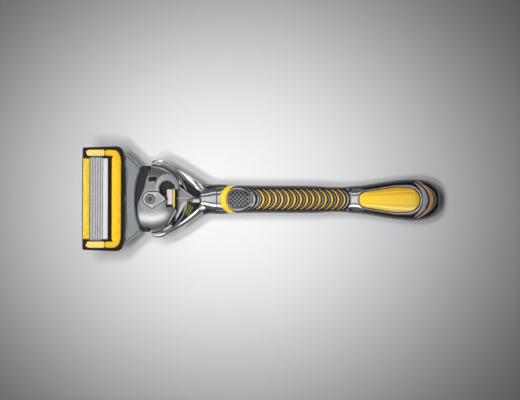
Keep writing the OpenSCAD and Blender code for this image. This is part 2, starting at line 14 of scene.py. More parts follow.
import bmesh
import bpy
import numpy as np
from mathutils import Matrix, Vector


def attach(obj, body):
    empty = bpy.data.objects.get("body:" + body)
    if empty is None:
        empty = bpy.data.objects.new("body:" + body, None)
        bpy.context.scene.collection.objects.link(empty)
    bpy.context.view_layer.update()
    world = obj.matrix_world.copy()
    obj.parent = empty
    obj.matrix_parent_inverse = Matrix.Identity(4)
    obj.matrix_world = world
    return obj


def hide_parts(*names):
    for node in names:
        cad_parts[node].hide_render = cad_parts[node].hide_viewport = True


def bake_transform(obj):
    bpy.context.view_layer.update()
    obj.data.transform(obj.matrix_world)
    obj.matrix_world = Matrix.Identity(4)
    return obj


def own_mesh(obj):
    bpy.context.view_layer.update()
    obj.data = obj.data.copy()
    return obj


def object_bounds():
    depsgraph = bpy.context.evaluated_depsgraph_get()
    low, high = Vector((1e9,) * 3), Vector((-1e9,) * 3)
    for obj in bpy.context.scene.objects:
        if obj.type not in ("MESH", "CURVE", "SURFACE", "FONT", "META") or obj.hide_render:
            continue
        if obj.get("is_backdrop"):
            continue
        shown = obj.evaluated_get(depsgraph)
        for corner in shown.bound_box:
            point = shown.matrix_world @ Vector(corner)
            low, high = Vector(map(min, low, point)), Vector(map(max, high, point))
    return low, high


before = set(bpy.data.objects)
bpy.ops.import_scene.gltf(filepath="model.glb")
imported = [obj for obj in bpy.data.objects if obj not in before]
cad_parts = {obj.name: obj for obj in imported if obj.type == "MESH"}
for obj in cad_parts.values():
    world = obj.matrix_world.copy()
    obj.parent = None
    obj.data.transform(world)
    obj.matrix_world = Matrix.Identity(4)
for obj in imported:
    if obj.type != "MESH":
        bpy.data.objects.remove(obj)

Array = np.ndarray
Colour = tuple[float, float, float]
Field = Callable[[Array, Array, Array], Array]
Edge = tuple[tuple[float, float, float], ...]
MM = 0.001
UP = np.array([0.0, 0, 1])
LOG = logging.getLogger("razor")


# ---------------- shapes


@dataclass
class Shell:
    """Vertices in millimetres, and faces as rows of vertex numbers.

    Attributes:
        verts: Points, one row each.
        faces: Quads, triangles and flat many-sided caps.
    """

    verts: Array
    faces: list[list[int]]

    def __add__(self, other: "Shell") -> "Shell":
        """Both shells side by side in one."""
        moved = [[i + len(self.verts) for i in face] for face in other.faces]
        return Shell(np.vstack([self.verts, other.verts]), self.faces + moved)

    def moved(self, change: Callable[[Array], Array]) -> "Shell":
        """The same faces on changed points."""
        return Shell(change(self.verts), self.faces)


def joined(shells: Sequence[Shell]) -> Shell:
    """All shells in one."""
    whole = shells[0]
    for shell in shells[1:]:
        whole = whole + shell
    return whole


def grid(points: Array, wrap_rows: bool = False, wrap_ring: bool = True, caps: bool = True) -> Shell:
    """Quads between neighbouring rows of points.

    Quad (i, j) joins points (i, j), (i, j+1), (i+1, j+1) and (i+1, j), and the last column joins the
    first where the ring wraps.

    Args:
        points: Rows of rings, shape (rows, ring, 3).
        wrap_rows: Whether the last row joins the first.
        wrap_ring: Whether each ring is closed.
        caps: Whether the first and last rings are filled with a flat face.

    Returns:
        The surface.
    """
    rows, ring = points.shape[:2]
    i, j = np.meshgrid(
        np.arange(rows if wrap_rows else rows - 1), np.arange(ring if wrap_ring else ring - 1), indexing="ij"
    )
    i, j = i.ravel(), j.ravel()
    i1, j1 = (i + 1) % rows, (j + 1) % ring
    faces = np.stack([i * ring + j, i * ring + j1, i1 * ring + j1, i1 * ring + j], axis=1).tolist()
    if caps and not wrap_rows:
        faces.append(list(range(ring))[::-1])
        faces.append(list(range((rows - 1) * ring, rows * ring)))
    return Shell(points.reshape(-1, 3), faces)


def smooth_path(points: Array, steps: int) -> Array:
    """A Catmull-Rom curve through points.

    Between points b and c, with neighbours a and d and t from 0 to 1, the curve is half of
    2b + (c - a)t + (2a - 5b + 4c - d)t^2 + (3b - a - 3c + d)t^3.

    Args:
        points: Points to pass through, shape (n, k).
        steps: Samples between neighbours.

    Returns:
        Points on the curve, from the first to the last.
    """
    ends = np.vstack([points[:1], points, points[-1:]])
    a, b, c, d = (ends[k : len(ends) - 3 + k, None, :] for k in range(4))
    t = (np.arange(steps) / steps)[None, :, None]
    curve = 0.5 * (2 * b + (c - a) * t + (2 * a - 5 * b + 4 * c - d) * t**2 + (3 * b - a - 3 * c + d) * t**3)
    return np.vstack([curve.reshape(-1, points.shape[1]), points[-1:]])


def even_path(path: Array, count: int, closed: bool = False) -> Array:
    """The same path with its points an equal distance apart.

    Args:
        path: Points, shape (n, k).
        count: How many points to return.
        closed: Whether the path runs back to its start.

    Returns:
        Points at equal steps of the path's length.
    """
    if closed:
        path = np.vstack([path, path[:1]])
    run = np.concatenate([[0], np.cumsum(np.linalg.norm(np.diff(path, axis=0), axis=1))])
    at = np.linspace(0, run[-1], count, endpoint=not closed)
    return np.stack([np.interp(at, run, path[:, k]) for k in range(path.shape[1])], axis=1)


def rounded(corners: Array, radius: float | Array, steps: int = 8) -> Array:
    """A closed outline whose corners are quadratic curves.

    Each corner P becomes (1-t)^2 A + 2t(1-t) P + t^2 B, where A and B lie radius away along its sides.

    Args:
        corners: Corners in order, shape (n, 2).
        radius: How far each curve reaches along the sides.
        steps: Samples to a corner.

    Returns:
        The outline's points.
    """
    before, after = np.roll(corners, 1, axis=0), np.roll(corners, -1, axis=0)
    reach = np.broadcast_to(np.asarray(radius, float), len(corners))[:, None]
    a = corners + reach * (before - corners) / np.linalg.norm(before - corners, axis=1, keepdims=True)
    b = corners + reach * (after - corners) / np.linalg.norm(after - corners, axis=1, keepdims=True)
    t = np.linspace(0, 1, steps)[None, :, None]
    curve = (1 - t) ** 2 * a[:, None] + 2 * t * (1 - t) * corners[:, None] + t**2 * b[:, None]
    return curve.reshape(-1, 2)


def to_points(*axes: Array | float) -> Array:
    """Points from their coordinates, which are first spread to one shape."""
    return np.stack(np.broadcast_arrays(*axes), axis=-1)


def unit(turn: Array) -> Array:
    """Directions in plan at each turn."""
    return to_points(np.cos(turn), np.sin(turn))


def turns(count: int) -> Array:
    """Even turns round a full circle, from zero."""
    return np.linspace(0, 2 * np.pi, count, endpoint=False)


def circle(count: int) -> Array:
    """Points round a circle of radius one, shape (count, 2)."""
    return unit(turns(count))


def turned(
    levels: Sequence[tuple[float | Array, float]], count: int, middle: Sequence[float] = (0, 0)
) -> Array:
    """Rings about an upright axis, one for each radius and height."""
    plan = circle(count)
    return np.stack([to_points(*(plan * np.reshape(r, (-1, 1)) + middle).T, z) for r, z in levels])


def hull_of_circles(centres: Array, radii: Array, count: int) -> Array:
    """The outline of a tight belt round circles.

    For each direction n the belt touches the circle whose centre.n + radius is largest, at
    centre + radius n.

    Args:
        centres: Circle centres, shape (n, 2).
        radii: Their radii.
        count: Points in the outline.

    Returns:
        The outline, at even steps of its length.
    """
    n = circle(720)
    best = np.argmax(n @ centres.T + radii[None, :], axis=1)
    return even_path(centres[best] + radii[best, None] * n, count, closed=True)


def inset(outline: Array, distance: float | Array) -> Array:
    """A closed, anticlockwise outline moved inwards along its normals."""
    along = np.roll(outline, -1, axis=0) - np.roll(outline, 1, axis=0)
    along /= np.maximum(np.linalg.norm(along, axis=1, keepdims=True), 1e-9)
    normal = to_points(-along[:, 1], along[:, 0])
    return outline + np.reshape(distance, (-1, 1)) * normal


def anticlockwise(outline: Array) -> Array:
    """The outline in anticlockwise order, told by the sign of its area."""
    x, y = outline.T
    area = np.sum(x * np.roll(y, -1) - y * np.roll(x, -1))
    return outline if area > 0 else outline[::-1]


def slab(outline: Array, low: float, high: float, edge: float, steps: int = 4) -> Shell:
    """An extruded outline with rounded top and bottom edges.

    Ring a of the rounding is inset by edge (1 - cos a) and stands edge (1 - sin a) inside the face.

    Args:
        outline: Closed outline in plan.
        low: Height of the bottom face.
        high: Height of the top face.
        edge: Radius of the rounding.
        steps: Rings in each rounding.

    Returns:
        The closed slab.
    """
    outline = anticlockwise(outline)
    turn = np.linspace(0, np.pi / 2, steps)
    insets = np.concatenate([edge * (1 - np.sin(turn)), edge * (1 - np.cos(turn))])
    heights = np.concatenate([low + edge * (1 - np.cos(turn)), high - edge * (1 - np.sin(turn))])
    rings = [to_points(*inset(outline, d).T, z) for d, z in zip(insets, heights)]
    return grid(np.stack(rings))


def crowned_slab(outline: Array, low: float, high: float, edge: float, top: Field, rings: int) -> Shell:
    """A slab whose top face is a height field over its star-shaped outline.

    Inner ring k is the outline shrunk towards its middle by s, from 1 to 0, and stands at
    high + top(s, x, y).

    Args:
        outline: Closed outline in plan, star-shaped about its middle.
        low: Height of the bottom face.
        high: Height of the top face's edge.
        edge: Radius of the upper rounding.
        top: Extra height from the shrink s and the plan position.
        rings: Rings across the top.

    Returns:
        The closed slab.
    """
    outline = anticlockwise(outline)
    middle = outline.mean(axis=0)
    turn = np.linspace(0, np.pi / 2, 5)
    rows = [to_points(*outline.T, low)]
    for a in turn:
        plan = inset(outline, edge * (1 - math.cos(a)))
        rows.append(to_points(*plan.T, high - edge * (1 - math.sin(a))))
    rim = inset(outline, edge)
    shrink = np.linspace(1, 0.01, rings)[1:]
    for s in shrink:
        x, y = (middle + (rim - middle) * s).T
        rows.append(to_points(x, y, high + top(s, x, y)))
    return grid(np.stack(rows))


def carried(path: Array, across: Array, up: Array, profile: Array, wrap: bool = False) -> Shell:
    """A closed profile carried along a path.

    Point (i, j) is path i + across i times the profile's first number + up i times its second.

    Args:
        path: Path points, shape (n, 3).
        across: Sideways direction at each point, shape (n, 3).
        up: Upward direction, shape (3,) or (n, 3).
        profile: Closed profile, shape (m, 2), or one for each path point, shape (n, m, 2).
        wrap: Whether the path is closed.

    Returns:
        The closed shell.
    """
    up = np.broadcast_to(up, path.shape)
    profile = np.broadcast_to(profile, (len(path),) + profile.shape[-2:])
    points = path[:, None] + across[:, None] * profile[..., :1] + up[:, None] * profile[..., 1:]
    return grid(points, wrap_rows=wrap)


def flat_sides(path: Array) -> Array:
    """The direction to the left of a path in plan, level and of length one."""
    along = np.gradient(path, axis=0)
    side = to_points(-along[:, 1], along[:, 0], 0.0)
    return side / np.linalg.norm(side, axis=1, keepdims=True)


def pillow(height: float, base: float, power: float = 4.0, count: int = 14) -> Array:
    """A closed profile of (s, h): flat below, and above base + height (1 - |2s - 1|^power)^(1/power)."""
    s = 0.5 - 0.5 * np.cos(np.linspace(0, np.pi, count))
    crown = base + height * (1 - np.abs(2 * s - 1) ** power) ** (1 / power)
    return np.vstack([to_points(s, crown), [[1, base - height], [0, base - height]]])


def ball(centre: Sequence[float], radii: Sequence[float], power: float = 1.0, count: int = 20) -> Shell:
    """A superellipsoid: centre + radii times signed powers of the cosines and sines of two angles."""
    v = np.linspace(-np.pi / 2 + 0.02, np.pi / 2 - 0.02, count)[:, None]
    u = turns(2 * count)
    x = signed_power(np.cos(v), power) * signed_power(np.cos(u), power)
    y = signed_power(np.cos(v), power) * signed_power(np.sin(u), power)
    z = signed_power(np.sin(v), power) * np.ones_like(u)
    return grid(np.asarray(centre) + to_points(x, y, z) * np.asarray(radii))


def signed_power(value: Array, power: float) -> Array:
    """The size of value to a power, with value's sign."""
    return np.sign(value) * np.abs(value) ** power


def box_shell(low: Sequence[float], high: Sequence[float], edge: float) -> Shell:
    """A box with rounded edges, drawn as a slab of a rounded rectangle."""
    (x0, y0, z0), (x1, y1, z1) = low, high
    corners = np.array([[x0, y0], [x1, y0], [x1, y1], [x0, y1]], float)
    return slab(rounded(corners, edge * 1.4, 5), z0, z1, edge)


def bump(value: Array, centre: float, half: float) -> Array:
    """A smooth hump of height one: cos^2 over the stretch centre +- half, and zero outside it."""
    t = np.clip(np.abs(value - centre) / half, 0, 1)
    return np.cos(t * np.pi / 2) ** 2


def step(value: Array, low: float, high: float) -> Array:
    """A smooth rise from 0 at low to 1 at high: 3t^2 - 2t^3."""
    t = np.clip((value - low) / (high - low), 0, 1)
    return t * t * (3 - 2 * t)


# ---------------- shaders


class Wire:
    """A shader socket that understands arithmetic."""

    def __init__(self, graph: "Graph", socket: bpy.types.NodeSocket) -> None:
        """Keeps the socket and the graph that it belongs to."""
        self.graph = graph
        self.socket = socket

    def __add__(self, other: "Wire | float") -> "Wire":
        """self + other."""
        return self.graph.math("ADD", self, other)

    __radd__ = __add__

    def __mul__(self, other: "Wire | float") -> "Wire":
        """self * other."""
        return self.graph.math("MULTIPLY", self, other)

    __rmul__ = __mul__

    def __sub__(self, other: "Wire | float") -> "Wire":
        """self - other."""
        return self.graph.math("SUBTRACT", self, other)

    def __rsub__(self, other: "Wire | float") -> "Wire":
        """other - self."""
        return self.graph.math("SUBTRACT", other, self)

    def __pow__(self, power: float) -> "Wire":
        """self to a power."""
        return self.graph.math("POWER", self, power)

    def above(self, level: float, soft: float) -> "Wire":
        """0 below level, 1 above level + soft, and smooth between."""
        return self.graph.node(
            "ShaderNodeMapRange",
            {"interpolation_type": "SMOOTHSTEP"},
            {"Value": self, "From Min": level, "From Max": level + soft},
        )


class Graph:
    """A material's node tree, written as expressions."""

    def __init__(self, name: str) -> None:
        """Starts a material with one surface shader.

        Args:
            name: The material's name.
        """
        self.material = bpy.data.materials.new(name)
        self.material.use_nodes = True
        self.tree = self.material.node_tree
        self.shader = self.tree.nodes["Principled BSDF"]
        self.spot = self.node("ShaderNodeTexCoord", out="Object")

    def node(
        self, kind: str, settings: dict | None = None, inputs: dict | None = None, out: str | int = 0
    ) -> Wire:
        """Makes any node.

        Args:
            kind: The node's type.
            settings: Its settings, set first; stops gives a ramp's stops.
            inputs: Values or wires by socket name or number.
            out: The output to return.

        Returns:
            The output's wire.
        """
        node = self.tree.nodes.new(kind)
        for key, value in (settings or {}).items():
            if key == "stops":
                self.set_stops(node, value)
            else:
                setattr(node, key, value)
        for key, value in (inputs or {}).items():
            self.feed(node.inputs[key], value)
        return Wire(self, node.outputs[out])

    @staticmethod
    def set_stops(node: bpy.types.Node, stops: Sequence[tuple[float, Colour]]) -> None:
        """Gives a ramp its stops, each a place and a colour."""
        elements = node.color_ramp.elements
        while len(elements) < len(stops):
            elements.new(0.5)
        for element, (place, colour) in zip(elements, stops):
            element.position = place
            element.color = (*colour, 1)

    def feed(self, socket: bpy.types.NodeSocket, value: "Wire | float | Sequence[float]") -> None:
        """Links a wire to a socket, or sets its value."""
        if isinstance(value, Wire):
            self.tree.links.new(value.socket, socket)
        elif isinstance(value, (tuple, list)) and len(value) == 3 and socket.type == "RGBA":
            socket.default_value = (*value, 1)
        else:
            socket.default_value = value

    def math(self, operation: str, a: "Wire | float", b: "Wire | float") -> Wire:
        """One Math node."""
        return self.node("ShaderNodeMath", {"operation": operation}, {0: a, 1: b})

    def place(self, scale: Sequence[float] = (1, 1, 1)) -> Wire:
        """Object coordinates in millimetres, scaled."""
        size = tuple(s / MM for s in scale)
        return self.node("ShaderNodeMapping", {}, {"Vector": self.spot, "Scale": size})

    def noise(self, scale: float, detail: float = 3, stretch: Sequence[float] = (1, 1, 1)) -> Wire:
        """Noise from 0 to 1 with scale waves to the millimetre."""
        inputs = {"Vector": self.place(stretch), "Scale": scale, "Detail": detail}
        return self.node("ShaderNodeTexNoise", {}, inputs, "Fac")

    def cells(self, scale: float, out: str = "Distance") -> Wire:
        """Voronoi cells with scale cells to the millimetre."""
        return self.node("ShaderNodeTexVoronoi", {}, {"Vector": self.place(), "Scale": scale}, out)

    def axis(self, letter: str) -> Wire:
        """One coordinate, in millimetres."""
        return self.node("ShaderNodeSeparateXYZ", {}, {0: self.place()}, "XYZ".index(letter))

    def mix(self, factor: "Wire | float", a: "Wire | Colour", b: "Wire | Colour") -> Wire:
        """A colour from a to b."""
        return self.node("ShaderNodeMix", {"data_type": "RGBA"}, {0: factor, 6: a, 7: b}, 2)

    def ramp(self, value: Wire, stops: Sequence[tuple[float, Colour]]) -> Wire:
        """A colour ramp."""
        return self.node("ShaderNodeValToRGB", {"stops": stops}, {0: value})

    def dent(self, height: Wire, depth: float) -> Wire:
        """A bump of depth millimetres."""
        return self.node("ShaderNodeBump", {}, {"Height": height, "Distance": depth * MM, "Strength": 1.0})

    def surface(self, **sockets: "Wire | float | Colour") -> None:
        """Feeds the surface shader; a name's underscores stand for spaces."""
        for key, value in sockets.items():
            self.feed(self.shader.inputs[key.replace("_", " ")], value)


@dataclass(frozen=True)
class Finish:
    """What every finish has.

    Attributes:
        name: The material's name.
        colour: Its main colour.
    """

    name: str
    colour: Colour

    def shade(self, g: Graph) -> None:
        """Fills in the graph."""
        g.surface(Base_Color=self.colour)

    def tinted(self, g: Graph, spread: float, scale: float = 0.25) -> Wire:
        """The main colour, made darker and lighter in soft patches.

        Args:
            g: The graph.
            spread: How far the patches go, as a share of the colour.
            scale: Patches to the millimetre.

        Returns:
            The colour's wire.
        """
        low = tuple(c * (1 - spread) for c in self.colour)
        high = tuple(min(1.0, c * (1 + spread)) for c in self.colour)
        return g.mix(g.noise(scale), low, high)

    def material(self) -> bpy.types.Material:
        """The finished material, made once for each name."""
        title = self.name + "_finish"
        made = bpy.data.materials.get(title)
        if made is None:
            graph = Graph(title)
            self.shade(graph)
            made = graph.material
        return made


@dataclass(frozen=True)
class Plated(Finish):
    """Chrome or satin plating over a casting, with faint haze and hairline scratches.

    Attributes:
        roughness: Roughness where it is cleanest.
        haze: Extra roughness in handled patches.
        ripple: Depth of the casting's ripple, in millimetres.
    """

    roughness: float = 0.07
    haze: float = 0.1
    ripple: float = 0.004

    def shade(self, g: Graph) -> None:
        """Metal whose roughness and normal vary."""
        patches = g.noise(0.35, 4).above(0.45, 0.3)
        hairs = g.noise(3.0, 2, (0.25, 5, 5)).above(0.62, 0.08)
        g.surface(
            Base_Color=self.tinted(g, 0.05),
            Metallic=1.0,
            Roughness=self.roughness + patches * self.haze + hairs * 0.06,
            Normal=g.dent(g.noise(0.5, 2), self.ripple),
        )


@dataclass(frozen=True)
class GroundSteel(Finish):
    """Steel ground along Y, as blades and spring parts are.

    Attributes:
        roughness: Mean roughness.
        grain: Depth of the grinding lines, in millimetres.
        metallic: How little of the light is scattered.
    """

    roughness: float = 0.2
    grain: float = 0.01
    metallic: float = 1.0

    def shade(self, g: Graph) -> None:
        """Long thin noise drives colour, roughness and bump."""
        lines = g.noise(1.0, 5, (14, 0.12, 14))
        g.surface(
            Base_Color=g.mix(lines, tuple(c * 0.7 for c in self.colour), self.colour),
            Metallic=self.metallic,
            Roughness=lines * 0.2 + (self.roughness - 0.1),
            Normal=g.dent(lines, self.grain),
        )


@dataclass(frozen=True)
class Rubber(Finish):
    """Soft black moulding with a fine spark-eroded skin and polished high spots.

    Attributes:
        roughness: Mean roughness.
        texture: Depth of the skin's texture, in millimetres.
    """

    roughness: float = 0.45
    texture: float = 0.02

    def shade(self, g: Graph) -> None:
        """Fine noise for the skin, coarse noise for handling shine."""
        skin = g.noise(5.0, 3)
        shine = g.noise(0.3, 3)
        g.surface(
            Base_Color=self.tinted(g, 0.35, 0.6),
            Roughness=self.roughness + (shine - 0.5) * 0.25 + (skin - 0.5) * 0.15,
            Specular_IOR_Level=0.5,
            Normal=g.dent(skin, self.texture),
        )


@dataclass(frozen=True)
class Moulded(Finish):
    """Hard gloss plastic with a slight flow ripple, dust specks and a clear shine.

    Attributes:
        roughness: Mean roughness.
        coat: Weight of the clear shine.
        spread: Variation of the colour.
    """

    roughness: float = 0.25
    coat: float = 0.6
    spread: float = 0.12

    def shade(self, g: Graph) -> None:
        """Colour patches, tiny specks and a shallow ripple."""
        specks = g.noise(6.0, 2).above(0.66, 0.06)
        g.surface(
            Base_Color=self.tinted(g, self.spread, 0.4),
            Roughness=self.roughness + specks * 0.2 + (g.noise(0.8) - 0.5) * 0.1,
            Coat_Weight=self.coat,
            Coat_Roughness=0.06,
            Normal=g.dent(g.noise(0.9, 2), 0.006),
        )


@dataclass(frozen=True)
class SoapStrip(Finish):
    """Porous lubricating strip: grains of wax and dark pores in a coloured binder.

    Attributes:
        grain: Colour of the pale grains.
        pore: Colour of the pores.
    """

    grain: Colour = (0.95, 0.8, 0.4)
    pore: Colour = (0.2, 0.1, 0.01)

    def shade(self, g: Graph) -> None:
        """Two sizes of grain, pores between them, and a bump to match."""
        pale = g.noise(3.2, 4).above(0.55, 0.1)
        dark = 1 - g.cells(2.6).above(0.16, 0.1)
        body = g.mix(pale * 0.7, self.tinted(g, 0.2, 0.7), self.grain)
        g.surface(
            Base_Color=g.mix(dark * 0.75, body, self.pore),
            Roughness=0.5 - pale * 0.15 + dark * 0.3,
            Normal=g.dent(pale - dark, 0.05),
        )


@dataclass(frozen=True)
class Lacquer(Finish):
    """Silver lacquer on plastic: fine metal flakes under a thin clear coat.

    Attributes:
        roughness: Mean roughness.
    """

    roughness: float = 0.32

    def shade(self, g: Graph) -> None:
        """Flakes vary colour, roughness and normal at a fine scale."""
        flakes = g.cells(9.0, "Color")
        flake = g.node("ShaderNodeSeparateColor", {}, {0: flakes}, 0)
        scuffs = g.noise(2.0, 4, (0.4, 2, 2)).above(0.6, 0.12)
        bright = tuple(min(1.0, c * 1.35) for c in self.colour)
        g.surface(
            Base_Color=g.mix(flake * 0.4, self.tinted(g, 0.08), bright),
            Metallic=0.85 - scuffs * 0.2,
            Roughness=self.roughness + flake * 0.12 + scuffs * 0.1,
            Coat_Weight=0.3,
            Coat_Roughness=0.15,
            Normal=g.dent(flake, 0.003),
        )


@dataclass(frozen=True)
class DomedLens(Finish):
    """Clear domed coat over yellow that runs from amber on one side to pale on the other.

    Attributes:
        amber: Colour on the +Y side.
        pale: Colour on the -Y side.
        half_width: Half the lens's width, in millimetres.
    """

    amber: Colour = (0.9, 0.42, 0.01)
    pale: Colour = (0.98, 0.76, 0.14)
    half_width: float = 5.1

    def shade(self, g: Graph) -> None:
        """The run of colour follows Y, softened by noise."""
        along = (g.axis("Y") * (0.5 / self.half_width) + 0.5) + (g.noise(0.3) - 0.5) * 0.12
        tone = g.ramp(along, [(0.0, self.pale), (0.42, self.colour), (0.62, self.colour), (1.0, self.amber)])
        swirl = g.noise(1.6, 3).above(0.55, 0.2)
        g.surface(
            Base_Color=tone,
            Metallic=0.15,
            Roughness=0.18 + swirl * 0.08,
            Coat_Weight=1.0,
            Coat_Roughness=0.03,
            Normal=g.dent(g.noise(0.4, 2), 0.004),
        )


class Palette(Enum):
    """The razor's finishes."""

    CHROME = Plated("mirror_chrome", (0.86, 0.87, 0.88))
    SATIN = Plated("satin_chrome", (0.78, 0.79, 0.8), roughness=0.31, haze=0.05)
    DARK_METAL = Plated("blackened_metal", (0.15, 0.15, 0.16), roughness=0.2)
    BLADE = GroundSteel("blade_steel", (0.94, 0.94, 0.95), roughness=0.3, metallic=0.8)
    SPRING = GroundSteel("spring_steel", (0.42, 0.43, 0.45), roughness=0.3)
    COMB = GroundSteel("comb_steel", (0.92, 0.92, 0.92), roughness=0.34, metallic=0.3)
    RUBBER = Rubber("black_rubber", (0.008, 0.008, 0.009), roughness=0.4)
    FIN_RUBBER = Rubber("guard_rubber", (0.02, 0.02, 0.022), roughness=0.5)
    GLOSS_BLACK = Moulded("gloss_black", (0.005, 0.005, 0.006), roughness=0.2, coat=0.3)
    HOUSING = Moulded("housing_black", (0.006, 0.006, 0.007), roughness=0.42, coat=0.05)
    YELLOW = Moulded("yellow_gloss", (0.85, 0.5, 0.002), roughness=0.24, spread=0.2)
    RIB_YELLOW = Moulded("rib_yellow", (0.64, 0.41, 0.045), roughness=0.26)
    ROD = Moulded("rod_yellow", (0.5, 0.43, 0.05), roughness=0.3)
    GOLD = Moulded("gold_clip", (0.98, 0.7, 0.16), roughness=0.24, coat=0.8)
    FORGED = Plated("forged_chrome", (0.84, 0.85, 0.86), roughness=0.15, haze=0.05)
    COPPER = Moulded("copper_accent", (0.5, 0.27, 0.08), roughness=0.22)
    ARCH = Moulded("arch_silver", (0.3, 0.31, 0.32), roughness=0.28)
    BUTTON = Lacquer("button_silver", (0.93, 0.93, 0.92), roughness=0.42)
    PAD = Lacquer("pad_metal", (0.26, 0.265, 0.27), roughness=0.3)
    STRIP = SoapStrip("soap_strip", (0.97, 0.62, 0.03))
    SILVER = Lacquer("silver_lacquer", (0.37, 0.395, 0.41))
    PALE_SILVER = Lacquer("pale_silver", (0.72, 0.72, 0.72), roughness=0.26)
    # Grey for the silver strips between the yellow ribs, which also stand in for a painted highlight on the
    # black rubber ridges; the same grey serves the knurl bed and the socket ring.
    RIB_SILVER_AND_HIGHLIGHT = Moulded("rib_silver", (0.24, 0.235, 0.22), roughness=0.25)
    SMOKE = Moulded("smoke_plastic", (0.16, 0.15, 0.165), roughness=0.3)
    PALE = Moulded("pale_plastic", (0.5, 0.41, 0.45), roughness=0.35, coat=0.2)
    LENS = DomedLens("badge_lens", (0.95, 0.62, 0.015))


# ---------------- pieces


class Bench:
    """Turns shells into pieces that ride on the frame."""

    def __init__(self) -> None:
        """Starts with no pieces."""
        self.made: list[str] = []

    def piece(
        self, name: str, shell: Shell, finish: Palette, slot: str, node: str = "", sharp: float = 38.0,
        body: str = "",
    ) -> bpy.types.Object:
        """Makes one piece.

        Args:
            name: The piece's name.
            shell: Its surface, in millimetres.
            finish: Its finish.
            slot: The record's material slot; not used.
            node: CAD node that it stands for, if any.
            sharp: Edges that turn by more than this many degrees stay crisp.
            body: The frame's body that it rides on, or nothing for a piece that rides on none.

        Returns:
            The object.
        """
        mesh = bpy.data.meshes.new(name)
        mesh.from_pydata(shell.verts * MM, [], shell.faces)
        self.tidy(mesh, sharp)
        return self.register(mesh, name, finish, node, body)

    def register(
        self, mesh: bpy.types.Mesh, name: str, finish: Palette, node: str, body: str
    ) -> bpy.types.Object:
        """Makes a mesh's object and ties it to its finish, its node and its body."""
        obj = bpy.data.objects.new(name, mesh)
        bpy.context.scene.collection.objects.link(obj)
        mesh.materials.append(finish.value.material())
        if body:
            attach(obj, body)
        if node:
            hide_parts(node)
        self.made.append(name)
        LOG.info("%s: %d faces on %s", name, len(mesh.polygons), body)
        return obj

    @staticmethod
    def tidy(mesh: bpy.types.Mesh, sharp: float) -> None:
        """Merges doubles, turns faces outwards and marks crisp edges."""
        work = bmesh.new()
        work.from_mesh(mesh)
        bmesh.ops.remove_doubles(work, verts=work.verts, dist=1e-7)
        bmesh.ops.recalc_face_normals(work, faces=work.faces)
        work.to_mesh(mesh)
        work.free()
        mesh.shade_smooth()
        mesh.set_sharp_from_angle(angle=math.radians(sharp))

    def softened(self, node: str, finish: Palette, body: str, edge: float, segments: int) -> None:
        """A copy of a CAD node with its crisp edges rounded, standing for that node.

        Args:
            node: The CAD node.
            finish: The copy's finish.
            body: The body that it rides on.
            edge: Radius of the rounding, in millimetres.
            segments: Rings in the rounding.
        """
        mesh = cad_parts[node].data.copy()
        mesh.name = node + "_soft"
        mesh.materials.clear()
        work = bmesh.new()
        work.from_mesh(mesh)
        bmesh.ops.remove_doubles(work, verts=work.verts, dist=2e-6)
        bmesh.ops.dissolve_limit(work, angle_limit=math.radians(1.5), verts=work.verts, edges=work.edges)
        crease = math.radians(30)
        crisp = [e for e in work.edges if len(e.link_faces) == 2 and e.calc_face_angle(0.0) > crease]
        bmesh.ops.bevel(work, geom=crisp, offset=edge * MM, segments=segments, profile=0.6, affect="EDGES",
                        clamp_overlap=True)
        work.to_mesh(mesh)
        work.free()
        mesh.shade_smooth()
        mesh.set_sharp_from_angle(angle=math.radians(40))
        self.register(mesh, node + "_soft", finish, node, body)

    @staticmethod
    def dress(node: str, finish: Palette) -> None:
        """Gives a CAD node that keeps its shape its finish."""
        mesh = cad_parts[node].data
        mesh.materials.clear()
        mesh.materials.append(finish.value.material())
        LOG.info("%s keeps its shape, in %s", node, finish.value.name)


# ---------------- cartridge


